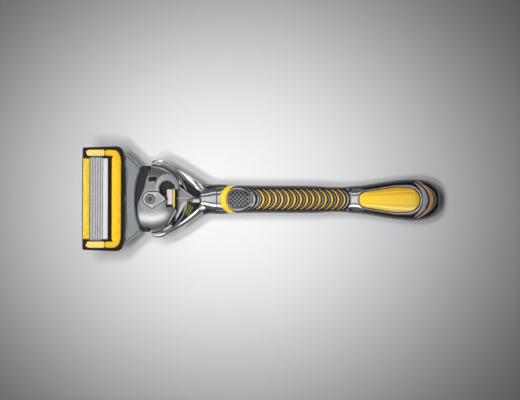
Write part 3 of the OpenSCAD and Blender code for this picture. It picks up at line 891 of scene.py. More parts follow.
@dataclass
class CartridgeHead:
    """Cartridge: housing, strips, comb, rubber fins, five blades and the clips that hold them.

    Its shapes are drawn in the shaving face's own axes: u from cap to guard, y across, w out of the face.

    Attributes:
        tilt: Lean of the shaving face towards the handle, in degrees.
        pivot: The pitch axis in the frame, from the joint of that name.
        cap_u: Cap end of the housing.
        face: Height of the plate under the strips.
        edge: Height of the cutting edges.
        strip_y: Half length of the strips.
        blade_half: Half length of a blade.
        blade_pitch: Distance between edges.
        first_edge: Place of the first edge along u.
        rake: Slope of the blades, in degrees.
        blade_depth: Blade from edge to back.
        clip_y: Inner and outer edge of the clips and of the guard's arms.
        blades: How many blades there are.
    """

    tilt: float = 12.0
    pivot: tuple[float, float, float] = (-59.4, 0.0, 11.0)
    cap_u: float = -13.7
    face: float = 3.0
    edge: float = 4.15
    strip_y: float = 16.4
    blade_half: float = 16.5
    blade_pitch: float = 1.05
    first_edge: float = -10.0
    rake: float = 16.0
    blade_depth: float = 0.9
    clip_y: tuple[float, float] = (17.3, 19.85)
    blades: int = 5

    def placed(self, shell: Shell) -> Shell:
        """Turns (u, y, w) into the frame: x = px + u cos a + w sin a, z = pz - u sin a + w cos a."""
        a = math.radians(self.tilt)

        def turn(p: Array) -> Array:
            """The rotation and shift."""
            x = self.pivot[0] + p[:, 0] * math.cos(a) + p[:, 2] * math.sin(a)
            z = self.pivot[2] - p[:, 0] * math.sin(a) + p[:, 2] * math.cos(a)
            return to_points(x, p[:, 1], z)

        return shell.moved(turn)

    @staticmethod
    def across(profile: Array, half: float, ends: float) -> Shell:
        """A closed (u, w) profile carried along y from -half to half, with its ends drawn in.

        Row k of an end shrinks the profile towards its middle by ends (1 - cos a).

        Args:
            profile: Closed profile of (u, w).
            half: Half length.
            ends: Radius of the end's rounding.

        Returns:
            The shell.
        """
        turn = np.linspace(0, np.pi / 2, 4)
        run = half - ends * (1 - np.sin(turn))
        shrink = ends * (1 - np.cos(turn))
        run, shrink = np.concatenate([-run[::-1], run]), np.concatenate([shrink[::-1], shrink])
        profile = anticlockwise(profile)
        rings = [to_points(q[:, 0], y, q[:, 1])
                 for y, q in zip(run, (inset(profile, s) for s in shrink))]
        return grid(np.stack(rings))

    def cap_strip(self) -> Shell:
        """Crowned strip with a soft, slightly wavy top and a notch at each end.

        w = 4.45 + 0.15 (1 - c^2) over the strip, where c runs from -1 to 1 across it, and the notches
        take 0.5 off within 0.45 of two places near the ends.
        """
        u = np.linspace(self.cap_u + 0.02, self.cap_u + 2.6, 22)
        y = np.linspace(-self.strip_y, self.strip_y, 220)
        uu, yy = np.meshgrid(u, y)
        c = (uu - u.mean()) / (u[-1] - u[0]) * 2
        top = 4.28 + 0.28 * (1 - np.abs(c) ** 2.6) + 0.015 * np.sin(yy * 2.1) * np.sin(uu * 3.0)
        notch = bump(np.abs(yy), self.strip_y - 1.3, 0.5) * step(-uu, -self.cap_u - 1.6, -self.cap_u - 0.7)
        ends = 1 - np.clip((np.abs(yy) - self.strip_y + 0.5) / 0.5, 0, 1) ** 3
        top = self.face + (top - self.face) * np.clip(0.35 + 0.65 * ends, 0, 1) - 0.75 * notch
        return self.bar(uu, yy, top)

    def bar(self, u: Array, y: Array, top: Array) -> Shell:
        """A bar whose top is a field of heights and whose foot stands on the plate."""
        rim, foot = (to_points(u, y, w) for w in (top, np.full_like(u, self.face + 0.02)))
        return grid(np.concatenate([foot[:, :1], rim, foot[:, -1:]], axis=1))

    def blade(self, number: int) -> Shell:
        """One blade: a bright bevel down to the edge, and a flat raked back."""
        t, depth = 0.12, self.blade_depth - 0.14
        profile = np.array([[0, 0.0], [-0.15, 0.05], [-0.3, 0.06], [-depth, 0.02], [-depth, -t], [-0.3, -t]])
        a = math.radians(self.rake)
        turn = np.array([[math.cos(a), math.sin(a)], [-math.sin(a), math.cos(a)]])
        corner = np.array([self.first_edge + number * self.blade_pitch, self.edge - 0.06])
        return self.across(profile @ turn + corner, self.blade_half, 0.02)

    def comb(self) -> Shell:
        """Comb bar with a soft roll over its top, fine grooves towards the blades and a centre notch.

        The bar's top is w = 4.15 less 0.03 (1 + cos(2 pi y / 0.75)) near its blade side.
        """
        u = np.linspace(-5.7, -3.4, 17)
        y = np.linspace(-self.strip_y, self.strip_y, 460)
        uu, yy = np.meshgrid(u, y)
        c = (uu - u.mean()) / (u[-1] - u[0]) * 2
        top = self.face + 1.12 * (1 - np.abs(c) ** 9) ** 0.5
        groove = 0.07 * (0.5 + 0.5 * np.cos(2 * np.pi * yy / 0.75)) * step(-uu, 4.6, 5.3)
        notch = 0.42 * step(-np.abs(yy), -1.35, -1.15) * step(-uu, 5.0, 5.15)
        ends = 0.5 * np.clip((np.abs(yy) - self.strip_y + 0.3) / 0.3, 0, 1) ** 2
        return self.bar(uu, yy, np.maximum(top - groove - notch - ends, self.face + 0.03))

    def fins(self) -> Shell:
        """Rubber base with three rows of fins, each a thin wave along y.

        Fin k stands at u = -3.28 + 0.45 k + 0.05 sin(2 pi y / 1.4), and leans with its height.
        """
        foot = np.array([[-3.45, 3.02], [-2.1, 3.02], [-2.1, 3.5], [-3.45, 3.5]])
        y = np.linspace(-self.strip_y + 0.3, self.strip_y - 0.3, 260)
        profile = np.array([[-0.11, 3.4], [0.11, 3.4], [0.07, 4.05], [0.0, 4.13], [-0.07, 4.05]])
        fins = [self.across(foot, self.strip_y, 0.1)]
        for k in range(3):
            wave = 0.05 * np.sin(2 * np.pi * y / 1.4 + k * np.pi)
            u = -3.28 + 0.45 * k + wave[:, None] + profile[:, 0]
            fins.append(grid(to_points(u, y[:, None], profile[:, 1])))
        return joined(fins)

    def guard(self) -> Shell:
        """Yellow C: a crossbar that turns through two round bends into an arm along each end.

        The path is the middle of the band, and its width runs between the arm's and the crossbar's.
        The section is a pillow whose foot stands on the plate.
        """
        y_mid = sum(self.clip_y) / 2
        bend, count = 1.35, 170
        turn = np.linspace(-np.pi / 2, 0, 14)
        lower = np.vstack([[[-4.78, -y_mid]], unit(turn) * bend + [-0.05 - bend, bend - y_mid]])
        path = even_path(np.vstack([lower, lower[::-1] * [1, -1]]), count)
        path = to_points(*path.T, self.face)
        arm = step(np.abs(path[:, 1]), y_mid - 3.0, y_mid - 0.2)
        width = 3.8 + (2.5 - 3.8) * arm
        ends = np.clip(np.minimum(np.arange(count), np.arange(count)[::-1]) / 2.0, 0.55, 1)
        ring = pillow(0.62, 0.5, 3.2)
        profile = np.empty((count, len(ring), 2))
        profile[..., 0] = (ring[None, :, 0] - 0.5) * (width * ends)[:, None]
        profile[..., 1] = 0.02 + np.clip(ring[None, :, 1] + 0.12, 0, None) * ends[:, None] * 0.93
        return carried(path, flat_sides(path), UP, profile)

    def clip(self, side: float) -> Shell:
        """One end clip: a soft-edged plate with a slanted cap end and a raised rail."""
        y0, y1 = self.clip_y
        foot = y0 + 0.05
        plan = np.array([[-4.95, foot], [-4.95, y1], [-11.3, y1], [-12.65, y1 - 0.75], [-11.85, foot]])
        rail = np.array([[-5.2, y0 + 0.9], [-5.2, y1 - 0.5], [-11.0, y1 - 0.5], [-11.6, y0 + 1.1]])
        plate = slab(rounded(plan, 0.35, 6), self.face + 0.02, self.face + 0.72, 0.16)
        lift = slab(rounded(rail, 0.4, 6), self.face + 0.6, self.face + 0.94, 0.14)
        return (plate + lift).moved(lambda p: p * [1, side, 1])

    def build(self, bench: Bench) -> None:
        """Makes and dresses the cartridge."""
        bench.softened("cartridge_housing", Palette.HOUSING, "cartridge", 0.22, 3)

        def make(name: str, shell: Shell, finish: Palette, slot: str, node: str, sharp: float = 38.0) -> None:
            """Makes a piece that is drawn in the face's axes."""
            bench.piece(name, self.placed(shell), finish, slot, node, sharp, "cartridge")

        make("cap_strip_soap", self.cap_strip(), Palette.STRIP, "lubricating_strip", "cap_strip")
        make("guard_c_band", self.guard(), Palette.YELLOW, "yellow_plastic", "guard_strip", 60)
        make("guard_fins", self.fins(), Palette.FIN_RUBBER, "black_rubber", "rubber_guard")
        make("comb_rail", self.comb(), Palette.COMB, "bright_steel", "comb_bar")
        for k in range(self.blades):
            make(f"ground_blade_{k + 1}", self.blade(k), Palette.BLADE, "bright_steel", f"blade_{k + 1}", 12)
            bench.dress(f"blade_support_{k + 1}", Palette.SPRING)
        for name, side in (("left", 1.0), ("right", -1.0)):
            make(f"gold_clip_{name}", self.clip(side), Palette.GOLD, "gold_clip", f"end_clip_{name}")
        bench.dress("trimmer_blade", Palette.BLADE)


# ---------------- yoke


@dataclass
class Yoke:
    """Trapezoid bracket between the cartridge and the pod, with its ears and pins."""

    @staticmethod
    def seams(side: float) -> Shell:
        """Fine black seam beside one slanted edge of the bracket."""
        path = smooth_path(np.array([[-54.6, 17.3, 13.2], [-52.2, 15.2, 13.2], [-49.9, 13.0, 13.2]]), 6)
        half = np.array([[0.14, -0.2], [0.14, 0.03], [0.06, 0.06]])
        ring = np.vstack([[[-0.14, -0.2]], half, half[:0:-1] * [-1, 1]])
        return carried(path, flat_sides(path), UP, ring).moved(lambda p: p * [1, side, 1])

    @staticmethod
    def crown() -> Shell:
        """Thin curved skin on the bracket's top, which leans with y: z = 13.15 + 0.55 (1 - (y / 16)^2).

        Its +X edge follows the bracket's hollow arc, and its ends follow the slanted edges.
        """
        y = np.linspace(-15.9, 15.9, 60)[:, None]
        arc = -51.35 + 33.5 - np.sqrt(33.5**2 - y**2)
        slant = -54.7 + (17.0 - np.abs(y)) * 1.1
        s = np.linspace(0, 1, 12)[None]
        x = -54.7 + (np.minimum(arc, slant) + 54.7) * s
        z = 13.16 + 0.5 * (1 - (y / 16) ** 2) * np.clip(np.minimum(s, 1 - s) * 12, 0, 1) ** 0.5
        upper = to_points(x, y, z)
        lower = upper[:, ::-1] * [1, 1, 0] + [0, 0, 13.0]
        return grid(np.concatenate([upper, lower], axis=1))

    def build(self, bench: Bench) -> None:
        """Rounds the bracket's edges and dresses the pins."""
        make = partial(bench.piece, body="yoke")
        make("yoke_crown", self.crown(), Palette.SILVER, "silver_plastic", "", 50)
        bench.softened("yoke", Palette.SILVER, "yoke", 0.35, 3)
        make("yoke_seams", self.seams(1.0) + self.seams(-1.0), Palette.GLOSS_BLACK, "gloss_black")
        bench.dress("pitch_pins", Palette.COMB)


# ---------------- pod


@dataclass
class Pod:
    """Swivelling pod: domed cover with its window, collar, button and plunger.

    Attributes:
        middle: Swivel axis in plan.
        radius: Widest radius.
        waist: Height of the widest ring.
        rise: Height of the dome above the waist.
        bottom: Lowest height of the cover.
        wall: Thickness of the cover.
        window: Middle of the round opening.
        hole: Radius of the round opening.
        sill: Low and high x, low and high y of the opening's square part.
        eye: A point in both parts of the opening, from which the cover's rings are drawn.
    """

    middle: tuple[float, float] = (-45.0, 0.0)
    radius: float = 14.2
    waist: float = 9.4
    rise: float = 7.5
    bottom: float = 2.9
    wall: float = 0.9
    window: tuple[float, float] = (-38.1, 4.2)
    hole: float = 3.2
    sill: tuple[float, float, float, float] = (-38.4, -34.9, -3.3, 4.2)
    eye: tuple[float, float] = (-36.8, 2.5)

    def height(self, x: Array, y: Array, inset: float = 0.0) -> Array:
        """Dome height: waist + (rise - inset) sqrt(1 - (r / (radius - inset))^2)."""
        r = np.hypot(x - self.middle[0], y - self.middle[1]) / (self.radius - inset)
        return self.waist + (self.rise - inset) * np.sqrt(np.clip(1 - r * r, 0, 1))

    def rim_lift(self, x: Array, y: Array) -> Array:
        """Groove round the arch over the window, which is widest on the +Y side."""
        d = np.hypot(x - self.window[0], y - self.window[1]) - self.hole
        turn = np.arctan2(y - self.window[1], x - self.window[0])
        width = 1.25 + 1.6 * bump(turn, 1.5, 1.9)
        arch = step(np.sin(turn + 0.35), -0.1, 0.2)
        return arch * -0.4 * bump(d, width + 0.2, 0.5)

    def front_edge(self, y: Array) -> Array:
        """Front boundary of the dome's bright cover: a skewed curve that meets the yoke's arc on -Y."""
        place = np.array([-14.2, -12.2, -9.0, -3.7, 0.0, 3.9, 7.4, 11.8, 14.2])
        edge = np.array([-46.2, -48.0, -49.6, -50.3, -49.2, -47.7, -46.9, -45.7, -45.2])
        fine = smooth_path(to_points(place, edge), 8)
        return np.interp(y, fine[:, 0], fine[:, 1])

    def outline(self, turn: Array) -> Array:
        """Plan of the upper cover seen from the eye, as the far point in each direction.

        The distance is the least of: the pod's circle, the front edge, and the cut for the return leaf.

        Args:
            turn: Directions, in radians.

        Returns:
            Points of the outline.
        """
        reach = np.linspace(0, 28, 2200)
        spots = np.array(self.eye) + unit(turn)[:, None] * reach[None, :, None]
        x, y = spots[..., 0], spots[..., 1]
        inside = np.hypot(x - self.middle[0], y - self.middle[1]) < self.radius
        inside &= (x > self.front_edge(y)) & ~self.in_notch(x, y)
        far = np.pad(reach[np.argmax(~inside, axis=1)], 2, "edge")
        far = np.convolve(far, np.ones(5) / 5, "valid")
        return np.array(self.eye) + unit(turn) * far[:, None]

    def opening(self, turn: Array) -> Array:
        """Edge of the opening seen from the eye: the farther of the circle's edge and the sill's edge."""
        ray = unit(turn)
        offset = np.subtract(self.eye, self.window)
        along = ray @ offset
        circle = -along + np.sqrt(along**2 - (offset @ offset - self.hole**2))
        x0, x1, y0, y1 = self.sill
        to_x = np.where(ray[:, 0] > 0, x1 - self.eye[0], x0 - self.eye[0]) / ray[:, 0]
        to_y = np.where(ray[:, 1] > 0, y1 - self.eye[1], y0 - self.eye[1]) / ray[:, 1]
        return np.array(self.eye) + ray * np.maximum(circle, np.minimum(to_x, to_y))[:, None]

    def cut_edge(self, y: Array) -> Array:
        """X of the cover's cut for the leaf: straight beside the sill, and slanted back below it."""
        return np.where(y < self.sill[2], -34.7 + 0.54 * (y - self.sill[2]), -34.65)

    def in_notch(self, x: Array, y: Array) -> Array:
        """True beyond the cut, below the arch's foot."""
        return (x > self.cut_edge(y)) & (y < 5.6)

    def cover(self) -> Shell:
        """Upper cover: rings from the opening out to the outline, with an inner skin.

        Ring s is opening + s (outline - opening), and its height is the dome plus the arch's lift. The
        inner skin is the same grid lowered by the wall.

        Returns:
            The closed shell.
        """
        turn = np.radians(np.linspace(41.85, 288.0, 420))
        inner, outer = self.opening(turn), self.outline(turn)
        span = np.linalg.norm(outer - inner, axis=1)[None]
        s = np.linspace(0, 1, 64) ** 1.1
        plan = inner[None] + s[:, None, None] * (outer - inner)[None]
        x, y = plan[..., 0], plan[..., 1]
        edge = 1 - np.clip((1 - s)[:, None] * span / 0.35, 0, 1)
        lip = 1 - np.clip(s[:, None] * span / 0.4, 0, 1)
        top = self.height(x, y) + self.rim_lift(x, y)
        top = top - 0.35 * (1 - np.sqrt(1 - edge**2)) - 0.3 * (1 - np.sqrt(1 - lip**2))
        low = np.minimum(np.maximum(self.height(x, y, self.wall) - 0.1, self.waist - 0.3), top - 0.3)
        rings = np.concatenate([to_points(x, y, top), to_points(x, y, low)[::-1]], axis=0)
        return grid(rings.transpose(1, 0, 2))

    def skirt(self) -> Shell:
        """Lower cover: the dome's mirror below the waist, carried round the swivel axis.

        The section runs from the waist down the ellipse to the bottom and back up inside by the wall,
        and it spans the directions where the yoke doesn't reach.
        """
        low = math.asin((self.waist - self.bottom) / self.rise)
        a = np.linspace(0.12, -low, 18)
        arc, radii = unit(a), np.array([self.radius, self.rise])
        outer = arc * radii + [0, self.waist]
        outer[0, 1] = min(outer[0, 1], self.waist + 0.8)
        inner = (arc * (radii - self.wall) + [0, self.waist])[::-1]
        inner[:, 1] = np.maximum(inner[:, 1], self.bottom + 0.02)
        section = np.vstack([outer, inner])
        turn = np.linspace(math.radians(-101), math.radians(101), 180)
        x = self.middle[0] + section[None, :, 0] * np.cos(turn)[:, None]
        y = self.middle[1] + section[None, :, 0] * np.sin(turn)[:, None]
        z = np.broadcast_to(section[None, :, 1], x.shape)
        z = np.where((x > -36.5) & (y > -11) & (y < 5.6), np.minimum(z, 6.5), z)
        x = np.maximum(x, -47.2)
        return grid(to_points(x, y, z))

    def collar(self) -> Shell:
        """Black collar between the yoke's hollow arc and the dome, with a soft top edge."""
        arc_x, arc_r, half = -51.05, 33.5, 13.4
        y = np.linspace(-half, half, 60)
        front = arc_x + arc_r - np.sqrt(arc_r**2 - y**2)
        back = np.full(40, -44.9)
        yb = np.linspace(half, -half, 40)
        plan = np.vstack([to_points(front, y), to_points(back, yb)])
        return slab(even_path(plan, 220, closed=True), 4.4, 13.75, 0.5, 5)

    def slot_lip(self) -> Shell:
        """Small black frame round the slot in the dome's upper part."""
        corners = np.array([[-45.75, 7.0], [-42.4, 7.25], [-42.4, 8.95], [-45.7, 8.8]])
        plan = even_path(rounded(corners, 0.3, 6), 60, closed=True)
        shell = slab(plan, -0.3, 0.12, 0.1, 3)
        shell.verts[:, 2] += self.height(shell.verts[:, 0], shell.verts[:, 1])
        return shell

    def groove_line(self) -> Shell:
        """Dark seam that runs across the dome from the slot towards the window."""
        path = smooth_path(np.array([[-41.0, 8.3], [-41.4, 6.8], [-41.9, 5.4], [-42.45, 3.9]]), 8)
        z = self.height(path[:, 0], path[:, 1]) + self.rim_lift(path[:, 0], path[:, 1])
        path = to_points(*path.T, z)
        return carried(path, flat_sides(path), UP, circle(8) * [0.13, 0.1])

    def well(self) -> Shell:
        """Dark lining of the window's round part: a cup below the cover."""
        wall = self.hole - 0.32
        levels = [(wall, 12.2), (wall, 12.86), (wall - 0.2, 12.88), (wall - 0.25, 12.4), (wall - 0.25, 10.3),
                  (0.05, 10.2), (0.05, 9.9), (wall, 9.9)]
        return grid(turned(levels, 96, self.window), wrap_rows=True)

    def rim_bead(self) -> Shell:
        """Bright bead along the arch's inner edge, thinned towards both ends."""
        turn = np.linspace(-0.02, math.radians(205), 110)
        x = self.window[0] + (self.hole + 0.08) * np.cos(turn)
        y = self.window[1] + (self.hole + 0.08) * np.sin(turn)
        path = to_points(x, y, self.height(x, y) + 0.42)
        side = to_points(np.cos(turn), np.sin(turn), 0.0)
        thick = 0.24 * np.clip(np.minimum(turn + 0.3, 3.6 - turn) / 0.5, 0.3, 1)
        return carried(path, side, UP, circle(10)[None] * thick[:, None, None])

    def arch(self) -> Shell:
        """Silver arch over the window: a flat-topped band that is widest on the +Y side."""
        turn = np.radians(np.linspace(-2, 196, 150))[:, None]
        width = 1.2 + 1.6 * bump(turn, 1.5, 1.9)
        s = np.array([0, 0, 0.06, 0.16, 0.35, 0.6, 0.82, 0.94, 1, 1])[None]
        lift = np.array([-0.6, 0.3, 0.5, 0.6, 0.64, 0.62, 0.55, 0.42, 0.15, -0.6])[None]
        d = self.hole + 0.12 + width * s
        x, y = self.window[0] + d * np.cos(turn), self.window[1] + d * np.sin(turn)
        return grid(to_points(x, y, self.height(x, y) + lift))

    def core_top(self, x: Array, y: Array) -> Array:
        """Top of the pod's black core: flat, and falling with the dome near its edge."""
        return np.minimum(12.9, self.height(x, y, 1.05))

    def cut_band(self) -> Shell:
        """Grey band that follows the slanted cut, draped over the core."""
        y0 = np.linspace(-4.2, -10.6, 40)
        inner = to_points(self.cut_edge(y0) + 0.25, y0)
        outer = to_points(inner[:, 0] + np.linspace(1.0, 0.7, 40), y0 - np.linspace(0.9, 0.3, 40))
        s = np.linspace(0, 1, 7)[None, :, None]
        plan = inner[:, None] * (1 - s) + outer[:, None] * s
        x, y = plan[..., 0], plan[..., 1]
        z = self.core_top(x, y)
        crown = 0.15 + 0.4 * (1 - np.abs(2 * s[..., 0] - 1) ** 3)
        upper = to_points(x, y, z + crown)
        lower = to_points(x, y, z + 0.03)
        return grid(np.concatenate([upper, lower[:, ::-1]], axis=1))

    def knobs(self) -> Shell:
        """Two small round knobs between the button and the window."""
        places = ((-39.5, 3.0, 10.3, 14.8, 0.85), (-39.0, 0.1, 14.6, 16.75, 0.75))
        return joined([slab(circle(40) * r + [x, y], low, high, 0.25) for x, y, low, high, r in places])

    def build(self, bench: Bench) -> None:
        """Makes and dresses the pod."""
        make = partial(bench.piece, body="pod")
        make("dome_cover", self.cover(), Palette.SATIN, "satin_chrome", "pod_cover", 50)
        make("dome_skirt", self.skirt(), Palette.SATIN, "satin_chrome")
        make("collar_ring", self.collar(), Palette.GLOSS_BLACK, "gloss_black", "dock_collar")
        make("window_bead", self.rim_bead(), Palette.CHROME, "chrome", "window_ring")
        make("window_well", self.well(), Palette.GLOSS_BLACK, "gloss_black")
        make("slot_lip", self.slot_lip(), Palette.GLOSS_BLACK, "gloss_black")
        make("dome_seam", self.groove_line(), Palette.GLOSS_BLACK, "gloss_black")
        bench.softened("pod_body", Palette.HOUSING, "pod", 0.15, 2)
        make("window_arch", self.arch(), Palette.ARCH, "silver_plastic", "", 50)
        make("cut_band", self.cut_band(), Palette.ARCH, "silver_plastic")
        make("window_knobs", self.knobs(), Palette.GLOSS_BLACK, "gloss_black")
        insert = box_shell((-38.2, -2.3, 12.95), (-35.95, 3.9, 14.3), 0.25)
        make("pale_insert", insert, Palette.PALE, "pale_plastic", "window_insert")
        rod = box_shell((-35.8, -3.25, 13.0), (-34.95, 4.15, 14.5), 0.2)
        make("yellow_rod", rod, Palette.ROD, "yellow_plastic", "window_rod")


@dataclass
class Release:
    """Release button with its knurled pick, its hub, the ejector below and the springs.

    Attributes:
        middle: Middle of the hub in plan.
        hub_r: Radius of the button round the hub.
        low: Underside of the button.
        high: Height of its top edge, before the crown.
        coil_front: Front end of the plunger's spring.
        coil_back: Its back end, which stays put.
        coil_z: Height of its axis.
    """

    middle: tuple[float, float] = (-45.0, 0.0)
    hub_r: float = 2.9
    low: float = 17.1
    high: float = 17.95
    coil_front: float = -50.18
    coil_back: float = -47.32
    coil_z: float = 8.0

    def pick_plan(self, grow: float) -> Array:
        """Outline of the button top: a belt round the hub and three blunt corners, widened by grow."""
        centres = np.array([[0, 0], [3.4, 2.2], [5.5, -0.1], [0.85, -3.3]]) + self.middle
        return hull_of_circles(centres, np.array([self.hub_r, 0.5, 0.6, 0.4]) + grow, 200)

    def pick(self) -> Shell:
        """Button top: a tight belt round the hub and three blunt corners, dished by 0.3 over the hub."""

        def top(s: Array, x: Array, y: Array) -> Array:
            """Dish inside the hub."""
            return -0.3 * (1 - step(np.hypot(x - self.middle[0], y - self.middle[1]), 1.6, 2.3))

        return crowned_slab(self.pick_plan(0.0), self.low, self.high, 0.25, top, 100)

    def knurl_plan(self, grow: float) -> Array:
        """Outline of the knurled patch beside the hub, widened by grow."""
        centres = np.array([[2.9, 1.9], [3.4, 2.0], [5.1, -0.1], [1.2, -2.9]]) + self.middle
        return hull_of_circles(centres, np.full(4, 0.2) + grow, 120)

    def knurl(self) -> Shell:
        """Small points on the patch, on a square lattice along the pick's two diagonals.

        A lattice place is kept where every edge of the patch's outline has it on the same side.
        """
        count, gap = np.arange(-12, 13), 0.62
        a, b = (gap * v.ravel() for v in np.meshgrid(count, count))
        spots = to_points((a + b) / math.sqrt(2), (a - b) / math.sqrt(2)) + self.middle
        plan = self.knurl_plan(-0.05)
        along = np.roll(plan, -1, axis=0) - plan
        offset = spots[:, None, :] - plan[None, :, :]
        side = along[None, :, 0] * offset[:, :, 1] - along[None, :, 1] * offset[:, :, 0]
        inside = np.all(side > 0, axis=1) | np.all(side < 0, axis=1)
        levels = ((0.25, 17.93), (0.22, 18.14), (0.1, 18.26))
        return joined([grid(turned(levels, 8, spot)) for spot in spots[inside]])

    def socket_ring(self) -> Shell:
        """Flat ring let into the hub between its rim and the socket."""
        levels = ((1.2, 18.4), (1.2, 18.5), (1.55, 18.52), (1.55, 18.4))
        return grid(turned(levels, 64, self.middle), wrap_rows=True)

    def hub(self) -> Shell:
        """Hexagonal socket ring round a small centre hole."""
        turn = turns(96)
        sector = np.mod(turn, np.pi / 3) - np.pi / 6
        hexagon = 1.15 / np.cos(sector)
        rim = ((1.92, 17.62), (1.92, 18.3), (1.75, 18.48), (1.5, 18.5))
        socket = ((hexagon, 18.42), (hexagon * 0.96, 17.9), (0.55, 17.9))
        hole = ((0.5, 18.05), (0.32, 18.05), (0.3, 17.75), (0.02, 17.75))
        return grid(turned(rim + socket + hole, 96, self.middle))

    def coil(self) -> Shell:
        """The plunger's return spring: a helix of radius 1.25 about the plunger's axis, with 4 turns."""
        turn = np.linspace(0, 8 * np.pi, 160)[:, None]
        out, along = 0.14 * circle(10).T[:, None]
        x = np.linspace(self.coil_front + 0.15, self.coil_back - 0.15, 160)[:, None] + along
        y, z = (1.25 + out) * np.cos(turn), (1.25 + out) * np.sin(turn)
        return grid(to_points(x, y, self.coil_z + z))

    def build(self, bench: Bench) -> None:
        """Makes and dresses the button and what it moves, and gives the return spring a mesh of its own."""
        stem = box_shell((self.middle[0] + 0.2, -1, 14.41), (self.middle[0] + 1.9, 1, 17.3), 0.12)
        gasket = slab(self.pick_plan(0.3), 16.96, 17.3, 0.08, 3)
        bed = slab(self.knurl_plan(0.0), 17.8, 17.99, 0.04, 2)
        make = partial(bench.piece, body="button")
        make("button_gasket", gasket, Palette.GLOSS_BLACK, "gloss_black")
        make("knurled_button", self.pick() + stem, Palette.BUTTON, "satin_chrome", "release_button", 32)
        make("button_socket", self.hub(), Palette.DARK_METAL, "dark_metal", "button_hub")
        make("knurl_bed", bed, Palette.RIB_SILVER_AND_HIGHLIGHT, "satin_chrome")
        make("knurl_points", self.knurl(), Palette.BUTTON, "satin_chrome", "", 30)
        make("socket_ring", self.socket_ring(), Palette.RIB_SILVER_AND_HIGHLIGHT, "dark_metal", "", 30)
        bench.softened("ejector_arm", Palette.SPRING, "button", 0.12, 2)
        for name in ("button_spring", "plunger"):
            bench.dress(name, Palette.SPRING)
        make = partial(bench.piece, body="pod")
        coil = make("plunger_coil", self.coil(), Palette.SPRING, "spring_steel", "plunger_spring")
        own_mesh(coil)


# ---------------- handle


